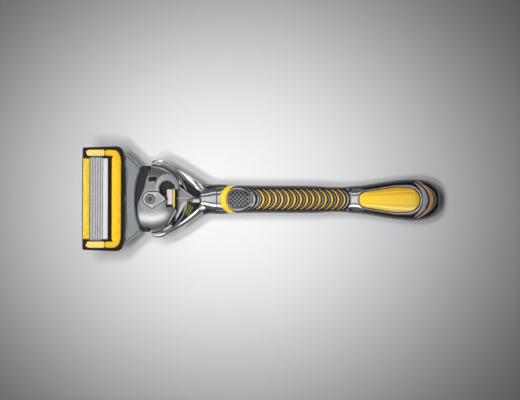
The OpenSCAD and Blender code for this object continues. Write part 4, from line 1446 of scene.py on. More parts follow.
@dataclass
class HandleSkin:
    """Smooth skin of the handle, from the neck to the butt.

    Each station gives x, middle height, half width and half height, and the curve through the stations
    gives every section between them. A section is the superellipse
    y = hy spow(cos a, 0.85), z = zc + hz spow(sin a, 0.85).

    Attributes:
        stations: The stations, from the neck to the butt.
        power: Power of the sines and cosines.
    """

    stations: tuple[tuple[float, float, float, float], ...] = (
        (-26, 7.9, 7.2, 4.6), (-21, 8, 5.9, 5.1), (-16, 8.1, 6, 5.6), (-8, 8.5, 5.6, 5.7), (5, 8.8, 5.5, 5.7),
        (20, 8.5, 5.5, 5.5), (30, 7.9, 5.0, 5.2), (37, 7.1, 5.4, 5.2), (45, 6.4, 6.5, 5.9), (54, 6, 7.9, 6.3),
        (62, 5.8, 8.5, 6.3), (68, 5.7, 7.5, 5.5), (71.6, 5.6, 4.9, 3.6), (72.6, 5.6, 2.7, 1.8),
    )
    power: float = 0.85
    curve: Array = field(init=False)

    def __post_init__(self) -> None:
        """Works out the curve through the stations."""
        self.curve = smooth_path(np.array(self.stations, float), 24)

    def at(self, x: Array) -> tuple[Array, Array, Array]:
        """Middle height, half width and half height at x."""
        c = self.curve
        return tuple(np.interp(x, c[:, 0], c[:, k]) for k in (1, 2, 3))

    def top(self, x: Array, y: Array) -> Array:
        """Height of the upper skin: zc + hz (1 - |y / hy|^n)^(1/n), n = 2 / power."""
        zc, hy, hz = self.at(x)
        n = 2 / self.power
        return zc + hz * np.clip(1 - np.clip(np.abs(y) / hy, 0, 1) ** n, 0, 1) ** (1 / n)

    def section(self, x: Array, turn: Array, grow: float = 0.0) -> Array:
        """Rings of the skin at each x, for the given turns, grown outwards by grow."""
        zc, hy, hz = (v[:, None] for v in self.at(x))
        y = (hy + grow) * signed_power(np.cos(turn), self.power)
        z = zc + (hz + grow) * signed_power(np.sin(turn), self.power)
        return to_points(x[:, None], y, z)

    def band(self, x: Array, turn: Array, grow: float, depth: float) -> Shell:
        """A closed patch of the skin between the first and last turn, grow above it and depth below it."""
        outer = self.section(x, turn, grow)
        inner = self.section(x, turn[::-1], -depth)
        return grid(np.concatenate([outer, inner], axis=1))

    def both_sides(self, x: Array, low: float, high: float, grow: float, depth: float) -> Shell:
        """The same patch on both sides, between two turns in radians."""
        turn = np.linspace(low, high, 24)
        return self.band(x, turn, grow, depth) + self.band(x, np.pi - turn, grow, depth)

    def strip(self, x: Array, y: Array, rise: float, depth: float) -> Shell:
        """A raised strip on the skin between two edges.

        x and y hold the two edges, shape (n, 2). Between them the plan is a straight mix, and the height
        is the skin plus rise times a pillow.

        Args:
            x: X of the two edges.
            y: Y of the two edges.
            rise: Height of the strip's crown above the skin.
            depth: How far its foot goes below the skin.

        Returns:
            The closed strip.
        """
        s = 0.5 - 0.5 * np.cos(np.linspace(0, np.pi, 9))
        px = x[:, :1] * (1 - s) + x[:, 1:] * s
        py = y[:, :1] * (1 - s) + y[:, 1:] * s
        crown = np.clip(1 - np.abs(2 * s - 1) ** 3, 0, 1) ** (1 / 2.2)
        return self.raised(px, py, rise * (crown - 0.25), depth)

    def raised(self, x: Array, y: Array, crown: Array, depth: float, wrap: bool = False) -> Shell:
        """Rows of points by crown above the skin, closed by a foot by depth below it."""
        base = self.top(x, y)
        upper, foot = to_points(x, y, base + crown), to_points(x, y, base - depth)
        return grid(np.concatenate([upper, foot[:, [-1, 0]]], axis=1), wrap_rows=wrap)

    def rim(self, inner: Array, outer: Array, rise: float, sink: float, depth: float) -> Shell:
        """A raised rim between two outlines: the skin + rise sqrt(1 - (2s - 1)^2) - sink, s from 0 to 1.

        Args:
            inner: Inner outline in plan.
            outer: Outer outline, with as many points.
            rise: Height of the round crown.
            sink: How far the round's edges lie below the skin.
            depth: How far the rim's foot goes below the skin.

        Returns:
            The closed rim.
        """
        s = np.linspace(0, 1, 9)
        x, y = (inner[:, None, k] * (1 - s) + outer[:, None, k] * s for k in (0, 1))
        crown = rise * np.sqrt(np.clip(1 - (2 * s - 1) ** 2, 0, 1)) - sink
        return self.raised(x, y, crown, depth, True)

    def crowned(self, plan: Array, low: float, edge: float, extra: Field, rings: int) -> Shell:
        """A crowned piece seated in the skin.

        Args:
            plan: Its outline.
            low: Height of its underside above the skin, below zero.
            edge: Radius of its upper edge.
            extra: Height of its top above the skin, from the shrink and the plan position.
            rings: Rings across the top.

        Returns:
            The closed piece.
        """
        shell = crowned_slab(plan, low, 0.0, edge, lambda s, x, y: self.top(x, y) + extra(s, x, y), rings)
        x, y, z = shell.verts.T
        z += np.where(z < 0.5 * low, self.top(x, y), 0)
        return shell


def crescent_edges(
    tip: float, reach: float, sweep: float, width: float, taper: float, count: int
) -> tuple[Array, Array]:
    """The two edges of a crescent whose apex is at x = tip, and whose horns are swept along X.

    At y the middle line is tip + sweep ((y / reach)^2 + 0.25 (y / reach)^4) / 1.25, and the width is
    width (1 - taper |y / reach|^1.6).

    Args:
        tip: X of the apex.
        reach: Half length in Y.
        sweep: X of the horns from the apex, negative towards the cartridge.
        width: Width at the apex.
        taper: Share of the width lost at the horns.
        count: Points along it.

    Returns:
        X and Y of the two edges, each of shape (count, 2).
    """
    y = np.linspace(-reach, reach, count)
    t = y / reach
    line = tip + sweep * (t**2 + 0.25 * t**4) / 1.25
    half = 0.5 * width * (1 - taper * np.abs(t) ** 1.6)
    slope = np.gradient(line, y)
    cosine = 1 / np.sqrt(1 + slope**2)
    x = to_points(line - half * cosine, line + half * cosine)
    yy = to_points(y + half * slope * cosine, y - half * slope * cosine)
    return x, yy


@dataclass
class ForkFrame:
    """Metal frame: two arms round the pod, the neck, and the cradle under the pod.

    Attributes:
        outer_up: Outer edge of the +Y arm: x, y and height.
        inner_up: Its inner edge.
        outer_down: Outer edge of the -Y arm.
        inner_down: Its inner edge.
        low: Height of the arms' underside.
    """

    outer_up: Edge = (
        (-44.6, 14.95, 11.0), (-43.6, 15.65, 11.9), (-41.9, 15.95, 12.4), (-39.5, 15.35, 12.6),
        (-36, 13.6, 12.7), (-32.5, 11.5, 12.7), (-29, 9.4, 12.7), (-26, 7.5, 12.5), (-23.2, 6.0, 11.8),
        (-20.5, 5.3, 10.6), (-17.4, 5.0, 9.4),
    )
    inner_up: Edge = (
        (-44.6, 14.7, 10.9), (-43.6, 14.7, 11.5), (-41.9, 14.45, 11.7), (-39.5, 13.75, 11.5),
        (-36.4, 12.05, 11.3), (-33.6, 9.5, 11.2), (-31.2, 7.2, 11.2), (-28.4, 5.1, 11.3), (-25.6, 3.4, 11.6),
        (-22.6, 2.6, 11.4), (-18.0, 2.6, 9.4),
    )
    outer_down: Edge = (
        (-44.6, -14.95, 10.6), (-43.6, -15.5, 11.2), (-41.9, -15.85, 11.5), (-39.5, -15.3, 11.5),
        (-36, -13.7, 11.4), (-32.5, -11.6, 11.4), (-29, -9.2, 11.4), (-26, -7.0, 11.3), (-23.4, -5.4, 11.0),
        (-20.5, -5.0, 10.3), (-17.4, -4.9, 9.2),
    )
    inner_down: Edge = (
        (-44.6, -14.7, 11.0), (-43.6, -14.7, 11.9), (-41.9, -14.45, 12.2), (-39.5, -13.9, 12.4),
        (-36.6, -12.7, 12.5), (-33, -10.0, 12.5), (-29.5, -7.1, 12.5), (-26.5, -4.6, 12.5),
        (-24.6, -2.9, 12.4), (-22, -2.3, 11.8), (-18.0, -2.3, 9.4),
    )
    low: float = 5.0

    def arm_shell(self, outer: Edge, inner: Edge) -> Shell:
        """One arm: a plate between two edges, with a small roll along each.

        Across the plate the top is a straight mix of the edges' heights, plus 0.12 in the middle; its
        sides drop to the underside, which rises by 2.6 (1 - t)^1.6 from the neck, t = 1, to the tip.
        """
        count = 120
        a = even_path(smooth_path(np.array(outer, float), 12), count)
        b = even_path(smooth_path(np.array(inner, float), 12), count)
        s = np.array([0, 0, 0.02, 0.07, 0.16, 0.3, 0.5, 0.7, 0.84, 0.93, 0.98, 1, 1, 0.95, 0.05])
        drop = np.array([1, 0.5, 0.16, 0.03, 0, -0.06, -0.1, -0.06, 0, 0.03, 0.16, 0.5, 1, 1, 1])
        points = a[:, None] * (1 - s[None, :, None]) + b[:, None] * s[None, :, None]
        sides = np.abs(drop) > 0.9
        points[..., 2] -= np.where(sides, 0, drop)[None]
        rise = self.low + 2.6 * np.linspace(1, 0, count) ** 1.6
        points[:, sides, 2] = rise[:, None] + np.where(np.abs(s[sides] - 0.5) > 0.48, 0.25, 0.0)
        return grid(points)

    def neck(self, skin: HandleSkin) -> Shell:
        """Neck: the handle's own sections behind a rounded nose, drawn in between the arms.

        Nose ring a stands 1.5 sin a ahead and is shrunk by cos^0.7 a; the width grows from 0.74 of the
        skin's at the nose to all of it at x = -20.
        """
        a = np.linspace(1.5, 0, 12)
        x = np.concatenate([-24.3 - 1.5 * np.sin(a), np.linspace(-24.1, -17.55, 40)])
        shrink = np.concatenate([np.cos(a) ** 0.7, np.ones(40)])[:, None]
        turn = turns(96)
        rings = skin.section(x, turn, 0.02)
        zc, hy, hz = (v[:, None] for v in skin.at(x))
        square = step(x, -23, -18)[:, None]
        rings[..., 1] = rings[..., 1] * square + (hy + 0.02) * np.cos(turn) * (1 - square)
        rings[..., 2] = rings[..., 2] * square + (zc + (hz + 0.02) * np.sin(turn)) * (1 - square)
        rings[..., 1] *= shrink * (0.74 + 0.26 * step(x, -25, -20)[:, None])
        rings[..., 2] = zc + (rings[..., 2] - zc) * shrink
        return grid(rings)

    def tray(self) -> Shell:
        """Black floor between the arms, hollowed to clear the pod as it swivels."""
        turn = np.radians(np.linspace(-39, 37, 60))
        hollow = unit(turn) * 14.95 + [-45, 0]
        rest = np.array([[-30, 7.6], [-26, 5.2], [-23.0, 3.2], [-23.0, -3.2], [-26, -5.6], [-30, -8.3]])
        return slab(np.vstack([hollow, rest]), 7.2, 8.3, 0.1)

    def gills(self) -> Shell:
        """Three thin slanted lines on the tray."""
        ring = np.array([[-0.1, -0.15], [0.1, -0.15], [0.07, 0.12], [-0.07, 0.12]])
        shells = []
        for k in (0.0, 0.75, 1.5):
            path = np.linspace((-31.4 + k, -5.6 - 0.9 * k, 8.4), (-29.3 + k, -2.2 - 0.7 * k, 8.4), 6)
            shells.append(carried(path, flat_sides(path), UP, ring))
        return joined(shells)

    def cradle(self) -> Shell:
        """Cradle plate under the pod, its bridge and the web that carries it to the neck."""
        disc = circle(96) * 9 + [-45, 0]
        bridge = np.array([[-41, -8.0], [-26, -4.9], [-19, -3.4], [-19, 3.4], [-26, 4.9], [-41, 8.0]])
        web = np.array([[-27.3, -4.6], [-19, -3.3], [-19, 3.3], [-27.3, 4.6]])
        return joined([slab(disc, 0.0, 2.0, 0.3), slab(rounded(bridge, 0.6), 0.0, 2.0, 0.3),
                       slab(rounded(web, 0.8), 1.5, 8.0, 0.3)])

    def junction(self) -> Shell:
        """Chrome tongue where the two arms and the leaf meet."""
        return ball((-26.2, -0.6, 10.7), (3.2, 1.35, 1.5), 0.8)

    def build(self, bench: Bench, skin: HandleSkin) -> None:
        """Makes the frame's parts and hangs the small lines on it."""
        arms = self.arm_shell(self.outer_up, self.inner_up) + self.arm_shell(self.outer_down, self.inner_down)
        core = box_shell((-17.6, -2.6, 5.2), (61, 2.6, 9.4), 0.3)
        frame_shell = arms + self.neck(skin) + self.cradle() + core
        flanks = skin.both_sides(np.linspace(-23.6, -16.8, 26), -0.25, 0.72, 0.07, 0.5)
        make = partial(bench.piece, body="handle")
        make("fork_frame", frame_shell, Palette.FORGED, "chrome", "handle_frame", 50)
        make("fork_tongue", self.junction(), Palette.CHROME, "chrome")
        make("fork_tray", self.tray(), Palette.HOUSING, "black_plastic")
        make("fork_gills", self.gills(), Palette.ROD, "yellow_plastic")
        make("neck_flanks", flanks, Palette.RUBBER, "black_rubber", "", 60)
        for name in ("swivel_pin", "retaining_clip"):
            bench.dress(name, Palette.SPRING)
        bench.dress("thrust_washer", Palette.PALE)


@dataclass
class Leaf:
    """Return leaf: a thin smoked spring from the pod's back to the neck, with a pale centre line."""

    low: float = 9.0

    def plate(self) -> Shell:
        """Wedge-shaped plate that narrows to a tail in the neck's slot."""
        corners = np.array([[-35.05, 5.7], [-33.7, 5.5], [-27.6, 0.85], [-24.4, 0.5], [-24.4, -0.1],
                            [-27.6, -0.35], [-30.2, -1.0], [-34.6, -8.9], [-35.05, -9.1]])
        return slab(even_path(rounded(corners, 0.25, 6), 240, closed=True), self.low, self.low + 0.6, 0.12, 3)

    def rails(self) -> Shell:
        """Pale centre line, bright upper edge and wide lower edge, raised on the plate."""
        wide = np.array([[-0.7, -0.15], [0.7, -0.15], [0.7, 0.05], [0.5, 0.14], [-0.5, 0.14], [-0.7, 0.05]])
        upper = [[-34.7, 5.55, 9.75], [-33.7, 5.1, 9.75], [-27.7, 0.75, 9.75], [-25.6, 0.3, 9.7]]
        lower = [[-30.9, -0.9, 9.65], [-34.55, -7.4, 9.65]]
        shells = []
        for points, count, profile in ((upper, 50, circle(10) * [0.3, 0.26]), (lower, 30, wide)):
            path = even_path(np.array(points), count)
            shells.append(carried(path, flat_sides(path), UP, profile))
        shells.append(box_shell((-34.6, 0.22, self.low + 0.5), (-27.9, 0.5, self.low + 0.84), 0.05))
        return joined(shells)

    def build(self, bench: Bench) -> None:
        """Makes the leaf and its rails, on no body, with their placement baked into their meshes."""
        leaf = bench.piece("leaf_spring", self.plate(), Palette.SMOKE, "smoke_plastic", "return_leaf")
        rails = bench.piece("leaf_rails", self.rails(), Palette.PALE_SILVER, "smoke_plastic")
        for obj in (leaf, rails):
            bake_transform(obj)


@dataclass
class Grip:
    """Rubber sleeve with its pad, ribs and crescents.

    Attributes:
        start: Front end of the sleeve.
        end: Its back end.
        ribs: How many yellow ribs there are.
        first: Apex of the first.
        pitch: Distance between two.
        sweep: X of a rib's horns from its apex.
        pad: Middle of the thumb pad.
        column: Distance between the pad's dimples along X.
        row: Distance between their rows.
    """

    start: float = -17.6
    end: float = 36.4
    ribs: int = 14
    first: float = 1.5
    pitch: float = 2.53
    sweep: float = -2.9
    pad: float = -9.0
    column: float = 1.66
    row: float = 0.81

    def sleeve(self, skin: HandleSkin) -> Shell:
        """Sleeve: the skin with a shallow trough for the ribs, a seat for the pad, and moulded chevrons.

        The trough is 0.5 deep within |y| < 4. The chevrons along both shoulders are waves of 0.18 in
        x + 0.9 |y|, the nubs at the front are waves of pitch 1.8, and the belly has grooves of pitch 2.2.
        """
        stations = np.linspace(self.start, self.end, 700)
        turn = turns(150)
        p = skin.section(stations, turn)
        x, y = p[..., 0], p[..., 1]
        side = np.abs(y)
        zc, hy, _ = (v[:, None] for v in skin.at(stations))
        trough = 0.5 * step(-side, -4.5, -4.0) * step(x, -2.6, -1.2)
        seat = 0.5 * step(-np.hypot((x - self.pad) / 5.4, y / 4.4), -1.02, -0.9)
        shoulder = bump(side, hy * 0.86, 0.9) * step(x, 3.0, 9.0) * step(-x, -35.5, -33.5)
        chevron = 0.2 * shoulder * (0.5 + 0.5 * np.sin(2 * np.pi * (x + 0.9 * side) / 1.25))
        nubs = 0.22 * bump(y, 4.9, 0.55) * step(-x, 4.5, 6.5) * step(x, -17.5, -16.5)
        nubs = nubs * (0.5 + 0.5 * np.cos(2 * np.pi * x / 1.8))
        drop = np.where(np.sin(turn) > 0.05, trough + seat + chevron * 0.9 - nubs * 0.5, 0)
        belly = np.where(np.sin(turn) < -0.25, 1.0, 0.0) * step(x, -12, -9) * step(-x, -32, -29)
        drop = drop + belly * 0.22 * (0.5 + 0.5 * np.cos(2 * np.pi * x / 2.2))
        inward = to_points(0.0, -y, zc - p[..., 2])
        inward /= np.linalg.norm(inward, axis=-1, keepdims=True)
        return grid(p + inward * drop[..., None])

    def rib_set(
        self, skin: HandleSkin, shift: float, width: float, rise: float, reach: float, taper: float
    ) -> Shell:
        """One strip for each rib, shifted along X."""
        tips = self.first + np.arange(self.ribs) * self.pitch + shift
        edges = (crescent_edges(tip, reach, self.sweep, width, taper, 41) for tip in tips)
        return joined([skin.strip(x, y, rise, 0.7) for x, y in edges])

    def pad_plan(self, grow: float = 0.0) -> Array:
        """Outline of the pad: a rounded shape, blunt in front and drawn in behind."""
        half = np.array([[-4.0, -1.9], [-2.6, -3.5], [0.8, -3.6], [4.1, -1.9]])
        corners = np.vstack([half, [[4.5, 0]], half[::-1] * [1, -1], [[-4.5, 0]], half[:1]]) + [self.pad, 0]
        plan = even_path(smooth_path(corners, 8)[:-1], 160, closed=True)
        return inset(anticlockwise(plan), -grow)

    def pad_shell(self, skin: HandleSkin) -> Shell:
        """Pad: crowned, with a round dimple 0.25 (1 - (d / 0.37)^4) deep round each place of dimples()."""
        places = self.dimples()

        def extra(s: Array, x: Array, y: Array) -> Array:
            """Crown and dimples; d is the distance to the nearest place."""
            d = np.hypot(x[:, None] - places[:, 0], y[:, None] - places[:, 1]).min(axis=1)
            return 0.18 * np.sqrt(np.clip(1 - s**2, 0, 1)) - 0.25 * np.clip(1 - (d / 0.37) ** 4, 0, 1)

        return skin.crowned(self.pad_plan(), 10.7, 0.12, extra, 110)

    def pad_rim(self, skin: HandleSkin) -> Shell:
        """Chrome rim round the pad."""
        return skin.rim(self.pad_plan(0.08), self.pad_plan(0.85), 0.3, 0.1, 0.7)

    def dimples(self) -> Array:
        """Middles of the pad's dimples, every other row of them shifted by half a column."""
        row, column = np.meshgrid(np.arange(-3, 4), np.arange(-2, 3), indexing="ij")
        x = self.pad + self.column * (column + np.where(np.mod(row, 2) == 0, 0, 0.5))
        y = row * self.row
        keep = (np.abs(x - self.pad) < 3.5) & (np.abs(y) < 2.8)
        return to_points(x[keep], y[keep])

    def dots(self, skin: HandleSkin) -> Shell:
        """Rubber dots that fill the pad's dimples."""
        levels = ((0.42, -0.35), (0.42, 0.12), (0.3, 0.2), (0.02, 0.23))
        dots = joined([grid(turned(levels, 16, place)) for place in self.dimples()])
        dots.verts[:, 2] += skin.top(dots.verts[:, 0], dots.verts[:, 1])
        return dots

    @staticmethod
    def accent(skin: HandleSkin, tip: float, reach: float, sweep: float, width: float, rise: float) -> Shell:
        """A thin crescent on the skin."""
        x, y = crescent_edges(tip, reach, sweep, width, 0.85, 61)
        return skin.strip(x, y, rise, 0.5)

    def front_crescent(self, skin: HandleSkin) -> Shell:
        """Gold crescent in front of the pad, between two circles whose arcs meet at the horns."""
        turn = np.linspace(-1, 1, 90)
        outer = np.pi - turn * math.radians(108)
        inner = np.pi - turn * math.radians(92)
        x = to_points(-10.4 + 6.3 * np.cos(outer), -8.6 + 5.65 * np.cos(inner))
        y = to_points(6.3 * np.sin(outer), 5.65 * np.sin(inner))
        limit = skin.at(x)[1] * 0.985
        return skin.strip(x, np.clip(y, -limit, limit), 0.3, 0.5)

    def saddle(self, skin: HandleSkin) -> Shell:
        """Satin cover from the neck to the gold crescent, over the sleeve's front."""
        y = np.linspace(-4.75, 4.75, 61)
        x = to_points(-18.4, -10.3 - np.sqrt(6.3**2 - y**2))
        return skin.strip(x, to_points(y, y), 0.16, 0.4)

    def build(self, bench: Bench, skin: HandleSkin) -> None:
        """Makes and dresses the grip."""
        make = partial(bench.piece, body="handle")
        yellow = self.rib_set(skin, -0.5, 0.92, 0.55, 4.05, 0.72)
        # The grey strip behind each yellow rib is partly a silver accent and partly a painted highlight
        # standing in for the shine on the black ridges.
        silver = self.rib_set(skin, -1.7, 0.5, 0.25, 3.7, 0.7)
        pair = self.accent(skin, -2.8, 4.3, -3.0, 1.3, 0.3) + self.accent(skin, -1.15, 4.1, -3.0, 0.7, 0.25)
        line = self.accent(skin, 35.3, 4.0, -2.6, 0.7, 0.2)
        gold = self.front_crescent(skin)
        make("grip_rubber", self.sleeve(skin), Palette.RUBBER, "black_rubber", "grip_sleeve", 70)
        make("ribs_yellow", yellow, Palette.RIB_YELLOW, "yellow_plastic", "rib_inlay_yellow", 60)
        # Silver strips that also carry a painted highlight for the black ridges.
        make("ribs_silver", silver, Palette.RIB_SILVER_AND_HIGHLIGHT, "silver_plastic", "rib_inlay_silver", 60)
        make("pad_plate", self.pad_shell(skin), Palette.PAD, "satin_chrome", "thumb_pad", 40)
        make("pad_dots", self.dots(skin), Palette.RUBBER, "black_rubber")
        make("pad_rim", self.pad_rim(skin), Palette.CHROME, "chrome", "thumb_pad_ring", 60)
        make("front_crescent_gold", gold, Palette.YELLOW, "yellow_plastic", "front_crescent", 60)
        make("neck_saddle", self.saddle(skin), Palette.FORGED, "chrome", "", 60)
        make("pad_crescents", pair, Palette.CHROME, "chrome", "", 60)
        make("waist_crescent", line, Palette.PALE_SILVER, "silver_plastic", "", 60)


@dataclass
class Butt:
    """Butt: waist ring, glossy shell, back, badge with its bezel, and two crescents.

    Attributes:
        waist: Front and back of the waist ring.
        round_from: X where the end begins to round off.
        end: X of the end.
        split: Height of the joint between the shell and the back.
        circles: X, y and radius of the circles that the badge's outline is a belt round.
        egg: The same circles as an array.
    """

    waist: tuple[float, float] = (36.4, 38.6)
    round_from: float = 68.0
    end: float = 72.6
    split: float = 4.6
    circles: Edge = ((43.0, 0, 3.3), (54.6, 0, 5.15), (59.4, 0, 5.0))
    egg: Array = field(init=False)

    def __post_init__(self) -> None:
        """Keeps the badge's circles as one array of x, y and radius."""
        self.egg = np.array(self.circles, float)

    def ring(self, skin: HandleSkin) -> Shell:
        """Waist ring: the skin with a round swell across its width."""
        x = np.linspace(*self.waist, 14)
        turn = turns(120)
        t = (x - self.waist[0]) / (self.waist[1] - self.waist[0]) * 2 - 1
        rings = skin.section(x, turn, -0.1)
        grow = 0.3 * np.sqrt(np.clip(1 - t * t, 0, 1)) - 0.2
        zc = skin.at(x)[0][:, None]
        rings[..., 1] *= 1 + grow[:, None] / 5.4
        rings[..., 2] = zc + (rings[..., 2] - zc) * (1 + grow[:, None] / 5.2)
        return grid(rings)

    def hourglass(self, skin: HandleSkin) -> Shell:
        """Satin patch over the waist, between two arcs that bulge towards each other."""
        y = np.linspace(-4.3, 4.3, 61)
        x = to_points(36.1 - 1.7 * (y / 4.3) ** 2, 39.9 + 2.0 * (y / 4.3) ** 2)
        return skin.strip(x, to_points(y, y), 0.34, 0.6)

    def plan(self, grow: float) -> Array:
        """Outline of the badge: a belt round three circles."""
        return hull_of_circles(self.egg[:, :2], self.egg[:, 2] + grow, 240)

    def beyond(self, x: Array, y: Array) -> Array:
        """Distance outside the badge: the least over circles blended between the badge's own three.

        Circle t has its middle and radius mixed linearly between neighbouring circles.
        """
        mixed = np.vstack([self.egg[:1] + (self.egg[1:2] - self.egg[:1]) * np.linspace(0, 1, 24)[:, None],
                           self.egg[1:]])
        reach = np.hypot(x[..., None] - mixed[:, 0], y[..., None] - mixed[:, 1]) - mixed[:, 2]
        return reach.min(axis=-1)

    def stations(self, count: int) -> Array:
        """X from the waist to the end, closer together where the end rounds off."""
        close = np.sin(np.linspace(0, np.pi / 2, 60))[1:]
        return np.concatenate([np.linspace(self.waist[1], self.round_from, count),
                               self.round_from + (self.end - self.round_from) * close])

    @staticmethod
    def closed(skin_rows: Array, level: float) -> Shell:
        """Rows of skin closed by a flat face at a level."""
        lid = skin_rows[:, ::-1].copy()
        lid[..., 2] = level
        return grid(np.concatenate([skin_rows, lid[:, 1:-1:12]], axis=1))

    def shell_top(self, skin: HandleSkin) -> Shell:
        """Upper shell, with a shallow moat round the badge."""
        turn = np.linspace(0, np.pi, 120)
        p = skin.section(self.stations(220), turn)
        d = self.beyond(p[..., 0], p[..., 1])
        p[..., 2] = np.maximum(p[..., 2], self.split) - 0.35 * bump(d, 0.45, 1.2) * (np.sin(turn) > 0.3)
        return self.closed(p, self.split)

    def shell_back(self, skin: HandleSkin) -> Shell:
        """Back shell: the skin below the split, cut flat where it rests."""
        p = skin.section(self.stations(120), np.linspace(np.pi, 2 * np.pi, 90))
        p[..., 2] = np.clip(p[..., 2], 0, self.split - 0.02)
        return self.closed(p, self.split - 0.02)

    def lens(self, skin: HandleSkin) -> Shell:
        """Badge: a domed drop whose crown stands 0.42 above the skin."""

        def dome(s: Array, x: Array, y: Array) -> Array:
            """The crown's height above the skin."""
            return 0.42 * np.sqrt(np.clip(1 - s**2.4, 0, 1))

        return skin.crowned(self.plan(-0.12), 9.8, 0.1, dome, 60)

    def bezel(self, skin: HandleSkin) -> Shell:
        """Chrome bezel: a thin round wire round the badge, thicker towards the butt."""
        inner = self.plan(0.25)
        swell = step(inner[:, 0], 50, 66)
        return skin.rim(inner, inset(anticlockwise(inner), -(0.35 + 0.55 * swell)), 0.28, 0.05, 0.8)

    def crescent(self, skin: HandleSkin, tip: float, reach: float, sweep: float, width: float) -> Shell:
        """A crescent on the butt that bulges towards its end."""
        x, y = crescent_edges(tip, reach, sweep, width, 0.8, 81)
        return skin.strip(x, y, 0.16, 0.5)

    def build(self, bench: Bench, skin: HandleSkin) -> None:
        """Makes and dresses the butt."""
        make = partial(bench.piece, body="handle")
        sides = skin.both_sides(np.linspace(35.6, 39.4, 20), -0.35, 1.02, 0.17, 0.4)
        band = self.crescent(skin, 66.7, 7.0, -4.4, 2.2)
        copper = self.crescent(skin, 69.3, 7.5, -6.0, 1.8)
        line = self.crescent(skin, 70.9, 6.6, -6.0, 0.4)
        make("waist_chrome", self.ring(skin), Palette.CHROME, "chrome", "waist_ring", 60)
        make("waist_hourglass", self.hourglass(skin), Palette.FORGED, "chrome", "", 60)
        make("waist_sides", sides, Palette.GLOSS_BLACK, "gloss_black", "", 60)
        make("butt_gloss", self.shell_top(skin), Palette.GLOSS_BLACK, "gloss_black", "butt_shell", 60)
        make("butt_underside", self.shell_back(skin), Palette.RUBBER, "black_rubber", "butt_back", 60)
        make("badge_dome", self.lens(skin), Palette.LENS, "amber_lens", "badge_lens", 60)
        make("badge_wire", self.bezel(skin), Palette.CHROME, "chrome", "badge_bezel", 60)
        make("butt_silver", band, Palette.ARCH, "silver_plastic", "butt_band", 60)
        make("butt_copper", copper, Palette.COPPER, "copper_accent", "butt_accent", 60)
        make("butt_rim_line", line, Palette.PALE_SILVER, "silver_plastic", "", 60)


# ---------------- studio


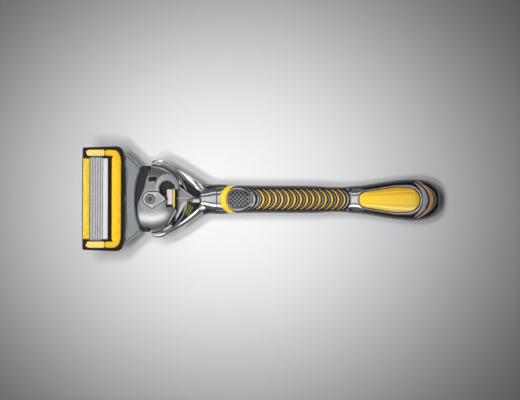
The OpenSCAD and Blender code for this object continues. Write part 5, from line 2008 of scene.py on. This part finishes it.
@dataclass
class Studio:
    """Floor, lamps and camera.

    Attributes:
        height: Camera above the floor, in metres.
        span: Width of the floor in view, in metres.
        middle: What the camera looks straight down at, in metres.
        roll: Turn of the camera about its own axis, in degrees.
    """

    height: float = 1.5
    span: float = 0.2127
    middle: tuple[float, float] = (-0.0005, -0.0003)
    roll: float = 0.2

    def floor(self) -> None:
        """Pale grey floor with a faint mottle."""
        mesh = bpy.data.meshes.new("floor")
        side = 3.0
        corners = [(-side, -side, 0), (side, -side, 0), (side, side, 0), (-side, side, 0)]
        mesh.from_pydata(corners, [], [(0, 1, 2, 3)])
        obj = bpy.data.objects.new("floor", mesh)
        bpy.context.scene.collection.objects.link(obj)
        g = Graph("floor_paper")
        mottle = g.mix(g.noise(0.02, 2), (0.575, 0.58, 0.585), (0.605, 0.61, 0.615))
        g.surface(Base_Color=mottle, Roughness=0.8, Normal=g.dent(g.noise(0.8, 2), 0.01))
        mesh.materials.append(g.material)
        obj.location.z = -0.0002
        obj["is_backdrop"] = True

    def lamp(self, name: str, power: float, place: Vector, aim: Vector) -> bpy.types.Object:
        """One lamp that looks at a point, to be shaped by its caller.

        Args:
            name: The lamp's name; a pool is a spot and every other is a rectangle.
            power: Watts.
            place: Where it stands, in metres.
            aim: What it looks at, in metres.

        Returns:
            The lamp.
        """
        data = bpy.data.lights.new(name, "SPOT" if name.startswith("pool") else "AREA")
        data.energy = power
        obj = bpy.data.objects.new(name, data)
        obj.location = place
        obj.rotation_euler = (aim - place).to_track_quat("-Z", "Y").to_euler()
        obj.visible_camera = False
        bpy.context.scene.collection.objects.link(obj)
        return obj

    def pool(self, name: str, power: float, place: Vector, cone: float) -> None:
        """One of the row of spots that make the bright pool and the soft shadow, and leave no glare."""
        obj = self.lamp(name, power, place, Vector((-0.012, 0.0, 0)))
        obj.visible_glossy = False
        obj.scale = (0.85, 1, 1)
        data = obj.data
        data.spot_size = math.radians(cone)
        data.spot_blend = 1.0
        data.shadow_soft_size = 0.06

    def panel(self, name: str, power: float, place: Vector, size: tuple[float, float]) -> None:
        """Rectangular panel that only shows in shiny surfaces; size is along and across it."""
        obj = self.lamp(name, power, place, Vector((0, 0, 0.01)))
        obj.visible_diffuse = False
        data = obj.data
        data.shape = "RECTANGLE"
        data.size, data.size_y = size

    def camera(self) -> None:
        """Camera straight above, with the focal length that the span needs."""
        data = bpy.data.cameras.new("camera")
        data.sensor_width = 36.0
        data.lens = data.sensor_width * self.height / self.span
        data.clip_end = 10
        obj = bpy.data.objects.new("camera", data)
        obj.location = (*self.middle, self.height)
        obj.rotation_euler = (0, 0, math.radians(self.roll))
        bpy.context.scene.collection.objects.link(obj)
        bpy.context.scene.camera = obj

    def build(self) -> None:
        """Sets up the studio."""
        self.floor()
        self.camera()
        spots = ((-0.26, -0.3), (-0.42, -0.17), (-0.3, 0.0), (-0.44, 0.17), (-0.28, 0.3))
        for number, (x, y) in enumerate(spots, 1):
            self.pool(f"pool_{number}", 16.8, Vector((x, y, 1.03)), 12.4)
        for name, power, place, size in (
            ("ceiling", 3.0, (0.0, 0.0, 1.75), (1.3, 1.1)),
            ("long_front", 1.1, (0.0, -0.5, 0.62), (0.9, 0.26)),
            ("long_back", 0.36, (0.05, 0.5, 0.68), (0.9, 0.1)),
            ("head_end", 0.16, (-0.75, 0.12, 0.6), (0.25, 0.1)),
        ):
            self.panel(name, power, Vector(place), size)
        world = bpy.data.worlds.new("room")
        world.use_nodes = True
        world.node_tree.nodes["Background"].inputs["Color"].default_value = (0.1, 0.101, 0.105, 1)
        bpy.context.scene.world = world
        bpy.context.scene.view_settings.view_transform = "Standard"


def main(cad_box: Sequence[Sequence[float]]) -> None:
    """Builds the razor in order.

    Args:
        cad_box: The CAD model's lowest and highest corners; not used.
    """
    logging.basicConfig(level=logging.INFO, format="%(name)s: %(message)s")
    Studio().build()
    bench = Bench()
    skin = HandleSkin()
    CartridgeHead().build(bench)
    Yoke().build(bench)
    Pod().build(bench)
    Release().build(bench)
    ForkFrame().build(bench, skin)
    Leaf().build(bench)
    Grip().build(bench, skin)
    Butt().build(bench, skin)
    LOG.info("%d pieces made", len(bench.made))


def plain(box: Sequence[Sequence[float]]) -> list[list[float]]:
    """A box as plain lists of numbers."""
    return [[float(value) for value in corner] for corner in box]


if __name__ == "__main__":
    main(plain(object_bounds()))
